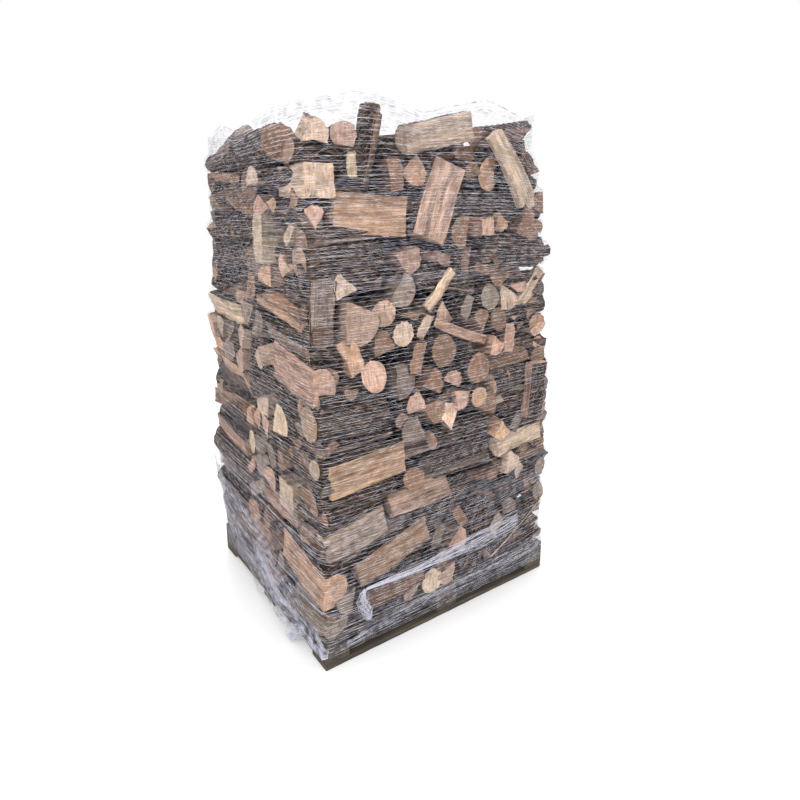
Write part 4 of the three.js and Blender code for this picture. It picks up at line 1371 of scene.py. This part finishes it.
_, thread_faces = tube(np.random.default_rng(1).random((10, 3)), 1, False)
print("a thread of 10 points has", len(thread_faces), "triangles")

# %% [markdown]
# The net is white plastic with a slight gloss. Its knitting is too fine to model stitch by
# stitch, so a noise makes each thread lighter and darker along its way.

# %% Net finish
THREAD_DARK = (0.26, 0.24, 0.26)
THREAD_MID = (0.58, 0.58, 0.68)
THREAD_PALE = (0.90, 0.90, 0.97)
ROPE_COLOUR = (0.74, 0.75, 0.84, 1)

net_finish, net_shader = new_material("net_thread", 0.42)
net_shader.inputs["Specular IOR Level"].default_value = 0.6
object_place = add_node(net_finish, "TexCoord").outputs["Object"]
stitches = add_node(net_finish, "TexNoise", {"Vector": object_place, "Scale": 42.0, "Detail": 2.0})
threads = ramp(net_finish, stitches.outputs["Fac"], (0.36, THREAD_DARK), (0.48, THREAD_MID),
               (0.62, THREAD_PALE))
link(net_finish, threads, net_shader.inputs["Base Color"])
rope_finish, rope_shader = new_material("net_rope", 0.45)
rope_shader.inputs["Base Color"].default_value = ROPE_COLOUR
print("net finishes ready")

# %% Chains and zigzags of one layer
CHAIN = 0.75  # thickness in millimetres
ZIGZAG = 0.38
STEPS_ROUND = 196
ROUND = 4100  # the length of a turn round the stack
TOOTH = (29, 41)  # how far along the net a thread runs from one chain to the next
BUNCHES = 70  # how often the chains bunch, in millimetres of height for a radian


def chain_heights(rng, gap, start, end):
    """Where the chains of one layer lie: gaps vary, so they bunch in places."""
    heights, z = [], start + rng.uniform(0, 8)
    while z < end:
        heights.append(z)
        z += rng.uniform(*gap) * (0.75 + 0.35 * math.sin(z / BUNCHES) ** 2)
    return np.array(heights)


def drift(rng, slope):
    """How far the net runs up or down at each angle and height, the same for neighbours."""
    terms = [(rng.integers(1, 4), rng.uniform(150, 420), rng.uniform(*ANY_PHASE), rng.uniform(3, 8))
             for _ in range(5)]

    def at(angle, z):
        easing = np.minimum(1, np.minimum(z - NET_BOTTOM + 12, NET_TOP - z + 12) / 60)
        waves_round = sum(size * np.sin(k * angle + z / run + phase) for k, run, phase, size in terms)
        return easing * (waves_round - slope * np.sin(angle))
    return at


def net_layer(seed, gap, lift, start, end, slope):
    """The chains and the zigzags of one layer of net, as tubes."""
    rng = np.random.default_rng(seed)
    heights, run = chain_heights(rng, gap, start, end), drift(rng, slope)
    angle = np.arange(STEPS_ROUND) * 2 * math.pi / STEPS_ROUND
    chains = []
    for z in heights:
        wobble = sum(rng.uniform(0.2, 0.9) * np.sin(angle * rng.integers(9, 60) + rng.uniform(*ANY_PHASE))
                     for _ in range(4))
        chains.append(tube(on_net(angle, z + run(angle, z) + wobble, lift), CHAIN, True))
    zigzags = []
    for lower, upper in zip(heights[:-1], heights[1:]):
        teeth = 2 * int(ROUND / (2 * rng.uniform(*TOOTH)))
        turn = (np.arange(teeth) + rng.uniform(-0.2, 0.2, teeth)) * 2 * math.pi / teeth
        turn = turn + rng.uniform(*ANY_PHASE)
        z = np.where(np.arange(teeth) % 2 == 0, lower, upper)
        zigzags.append(tube(on_net(turn, z + run(turn, z), lift), ZIGZAG, True))
    return chains, zigzags


def net_piece(name, parts, finish=net_finish):
    """Joins tubes in one piece of the net."""
    corners, faces = joined(parts)
    piece = add_mesh(name, corners, faces)
    piece.data.materials.append(finish)
    piece.data.polygons.foreach_set("use_smooth", np.ones(len(faces), bool))
    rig.ride(piece, "root")
    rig.replaces(piece, "net")
    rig.slot(piece, slot_of["net"])
    print(name, len(faces), "triangles")


LAYERS = [
    # gap between chains, how far out, where it starts and ends, how much it slopes
    ((9, 17), 1.5, NET_BOTTOM, NET_TOP, 0),
    ((16, 36), 3.5, NET_BOTTOM, NET_TOP, 22),
    ((13, 30), 5.0, 1180, NET_TOP, 80),
    ((9, 22), 6.0, NET_BOTTOM, 560, -30),
]
for layer, (gap, lift, start, end, slope) in enumerate(LAYERS, 1):
    chains, zigzags = net_layer(40 + layer, gap, lift, start, end, slope)
    middle = len(chains) // 2
    net_piece(f"net_chains_{layer}_low", chains[:middle])
    net_piece(f"net_chains_{layer}_high", chains[middle:])
    net_piece(f"net_zigzags_{layer}", zigzags)

# %% [markdown]
# Where the net was started and tied off it is gathered into loose ropes, with a tuft hanging
# from an end. A bundle of threads follows a path, spread flat to a width that changes on the
# way, and each thread wanders a little inside it. A width is given as two lists: shares of the
# way, and half the width in millimetres at each.


# %% Gathered ropes and tufts of the net
ROPE_STEPS = 60
HANGING_STEPS = 40
STICKING_STEPS = 30
FACE_OUT = 500  # about how far a face is from the middle


def bundle(path, widths, count, rng, wander=0.3, thick=(1.0, 1.7)):
    """Many thin threads along one path, spread out to the bundle's width."""
    share = np.linspace(0, 1, len(path))
    widths = np.interp(share, *widths)
    ahead = np.gradient(path, axis=0)
    ahead /= np.linalg.norm(ahead, axis=1)[:, None]
    outward = path * [1, 1, 0]
    outward /= np.linalg.norm(outward, axis=1)[:, None]
    across = np.cross(ahead, outward)
    threads = []
    for _ in range(count):
        turn, speed = rng.uniform(*ANY_PHASE, 3), rng.uniform(3, 11, 3)
        a = rng.uniform(-1, 1) + wander * np.sin(speed[0] * share + turn[0])
        a = a + 0.12 * np.sin(30 * share + turn[1])
        b = 0.4 * np.sin(speed[1] * share + turn[2])
        offset = across * (a * widths)[:, None] + outward * ((b + 0.4) * np.minimum(widths, 9))[:, None]
        threads.append(tube(path + offset, rng.uniform(*thick), False))
    return threads


def smooth_path(points, steps):
    """A curve close to a few points: straight stretches between them, with smoothed corners."""
    points = np.array(points, float)
    knots = np.arange(len(points))
    t = np.linspace(0, len(points) - 1, steps)
    fine = np.stack([np.interp(t, knots, points[:, k]) for k in range(points.shape[1])], 1)
    for _ in range(steps // len(points)):
        fine[1:-1] = (fine[:-2] + 2 * fine[1:-1] + fine[2:]) / 4
    return fine


def on_side(face, points, steps, lift):
    """A path on the net over one face, through points of (distance along the face, height)."""
    path = smooth_path(points, steps)
    flat = SIDEWAYS[face] * path[:, :1] + OUTWARD[face] * FACE_OUT
    return on_net(np.arctan2(flat[:, 1], flat[:, 0]), path[:, 1], lift)


rng = np.random.default_rng(77)
front_rope = on_side(FACES["front"], [(-384, 272), (-250, 275), (-60, 281), (150, 290), (330, 300)],
                     ROPE_STEPS, 4)
front_widths = ([0, 0.08, 0.4, 1], [4, 6, 15, 42])
hanging = on_side(FACES["front"], [(-388, 274), (-398, 256), (-394, 225), (-386, 190), (-376, 152)],
                  HANGING_STEPS, 5)
hanging_widths = ([0, 0.15, 0.5, 0.8, 1], [4, 6, 17, 15, 6])
side_rope = on_side(FACES["left"], [(-30, 210), (100, 160), (190, 120), (290, 72), (400, 60), (452, 58)],
                    ROPE_STEPS, 4)
side_widths = ([0, 0.3, 0.7, 1], [34, 13, 10, 8])
sticking = smooth_path([(-522, -300, 78), (-536, -290, 60), (-552, -275, 42), (-560, -262, 24)],
                       STICKING_STEPS)
sticking_widths = ([0, 0.4, 1], [7, 20, 12])
gathered = (bundle(front_rope, front_widths, 30, rng) + bundle(hanging, hanging_widths, 34, rng, 0.6)
            + bundle(side_rope, side_widths, 30, rng) + bundle(sticking, sticking_widths, 30, rng, 0.6))
net_piece("net_gathered", gathered, rope_finish)

# %% [markdown]
# Low down the net was wound on many times over, to tie the stack to its pallet. These bands lie
# close to the corner and fan out over the faces.

# %% Bands of net low down
left_band = on_side(FACES["left"], [(-500, 330), (-250, 265), (0, 195), (250, 120), (452, 66)],
                    ROPE_STEPS, 6)
left_widths = ([0, 0.5, 1], [225, 130, 20])
front_band = on_side(FACES["front"], [(-500, 70), (-350, 82), (-100, 100), (200, 120), (505, 140)],
                     ROPE_STEPS, 6)
front_band_widths = ([0, 0.5, 1], [16, 26, 60])
bands = (bundle(left_band, left_widths, 64, rng, 0.12, (0.7, 1.2))
         + bundle(front_band, front_band_widths, 16, rng, 0.12, (0.7, 1.1)))
net_piece("net_bands", bands)

# %% [markdown]
# ## Size and face count
# The CAD box from the start and the box of what is shown now are written side by side, so that
# they can be compared.

# %% Size and finish
for piece in bpy.data.objects:
    piece.select_set(False)
with open("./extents.json", "w") as file:
    json.dump({"cad": cad_box, "visual": [list(corner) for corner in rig.bounds()]}, file)
print(open("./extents.json").read())
triangles = sum(len(piece.data.polygons) for piece in bpy.data.objects if piece.type == "MESH")
print("faces in all", triangles)
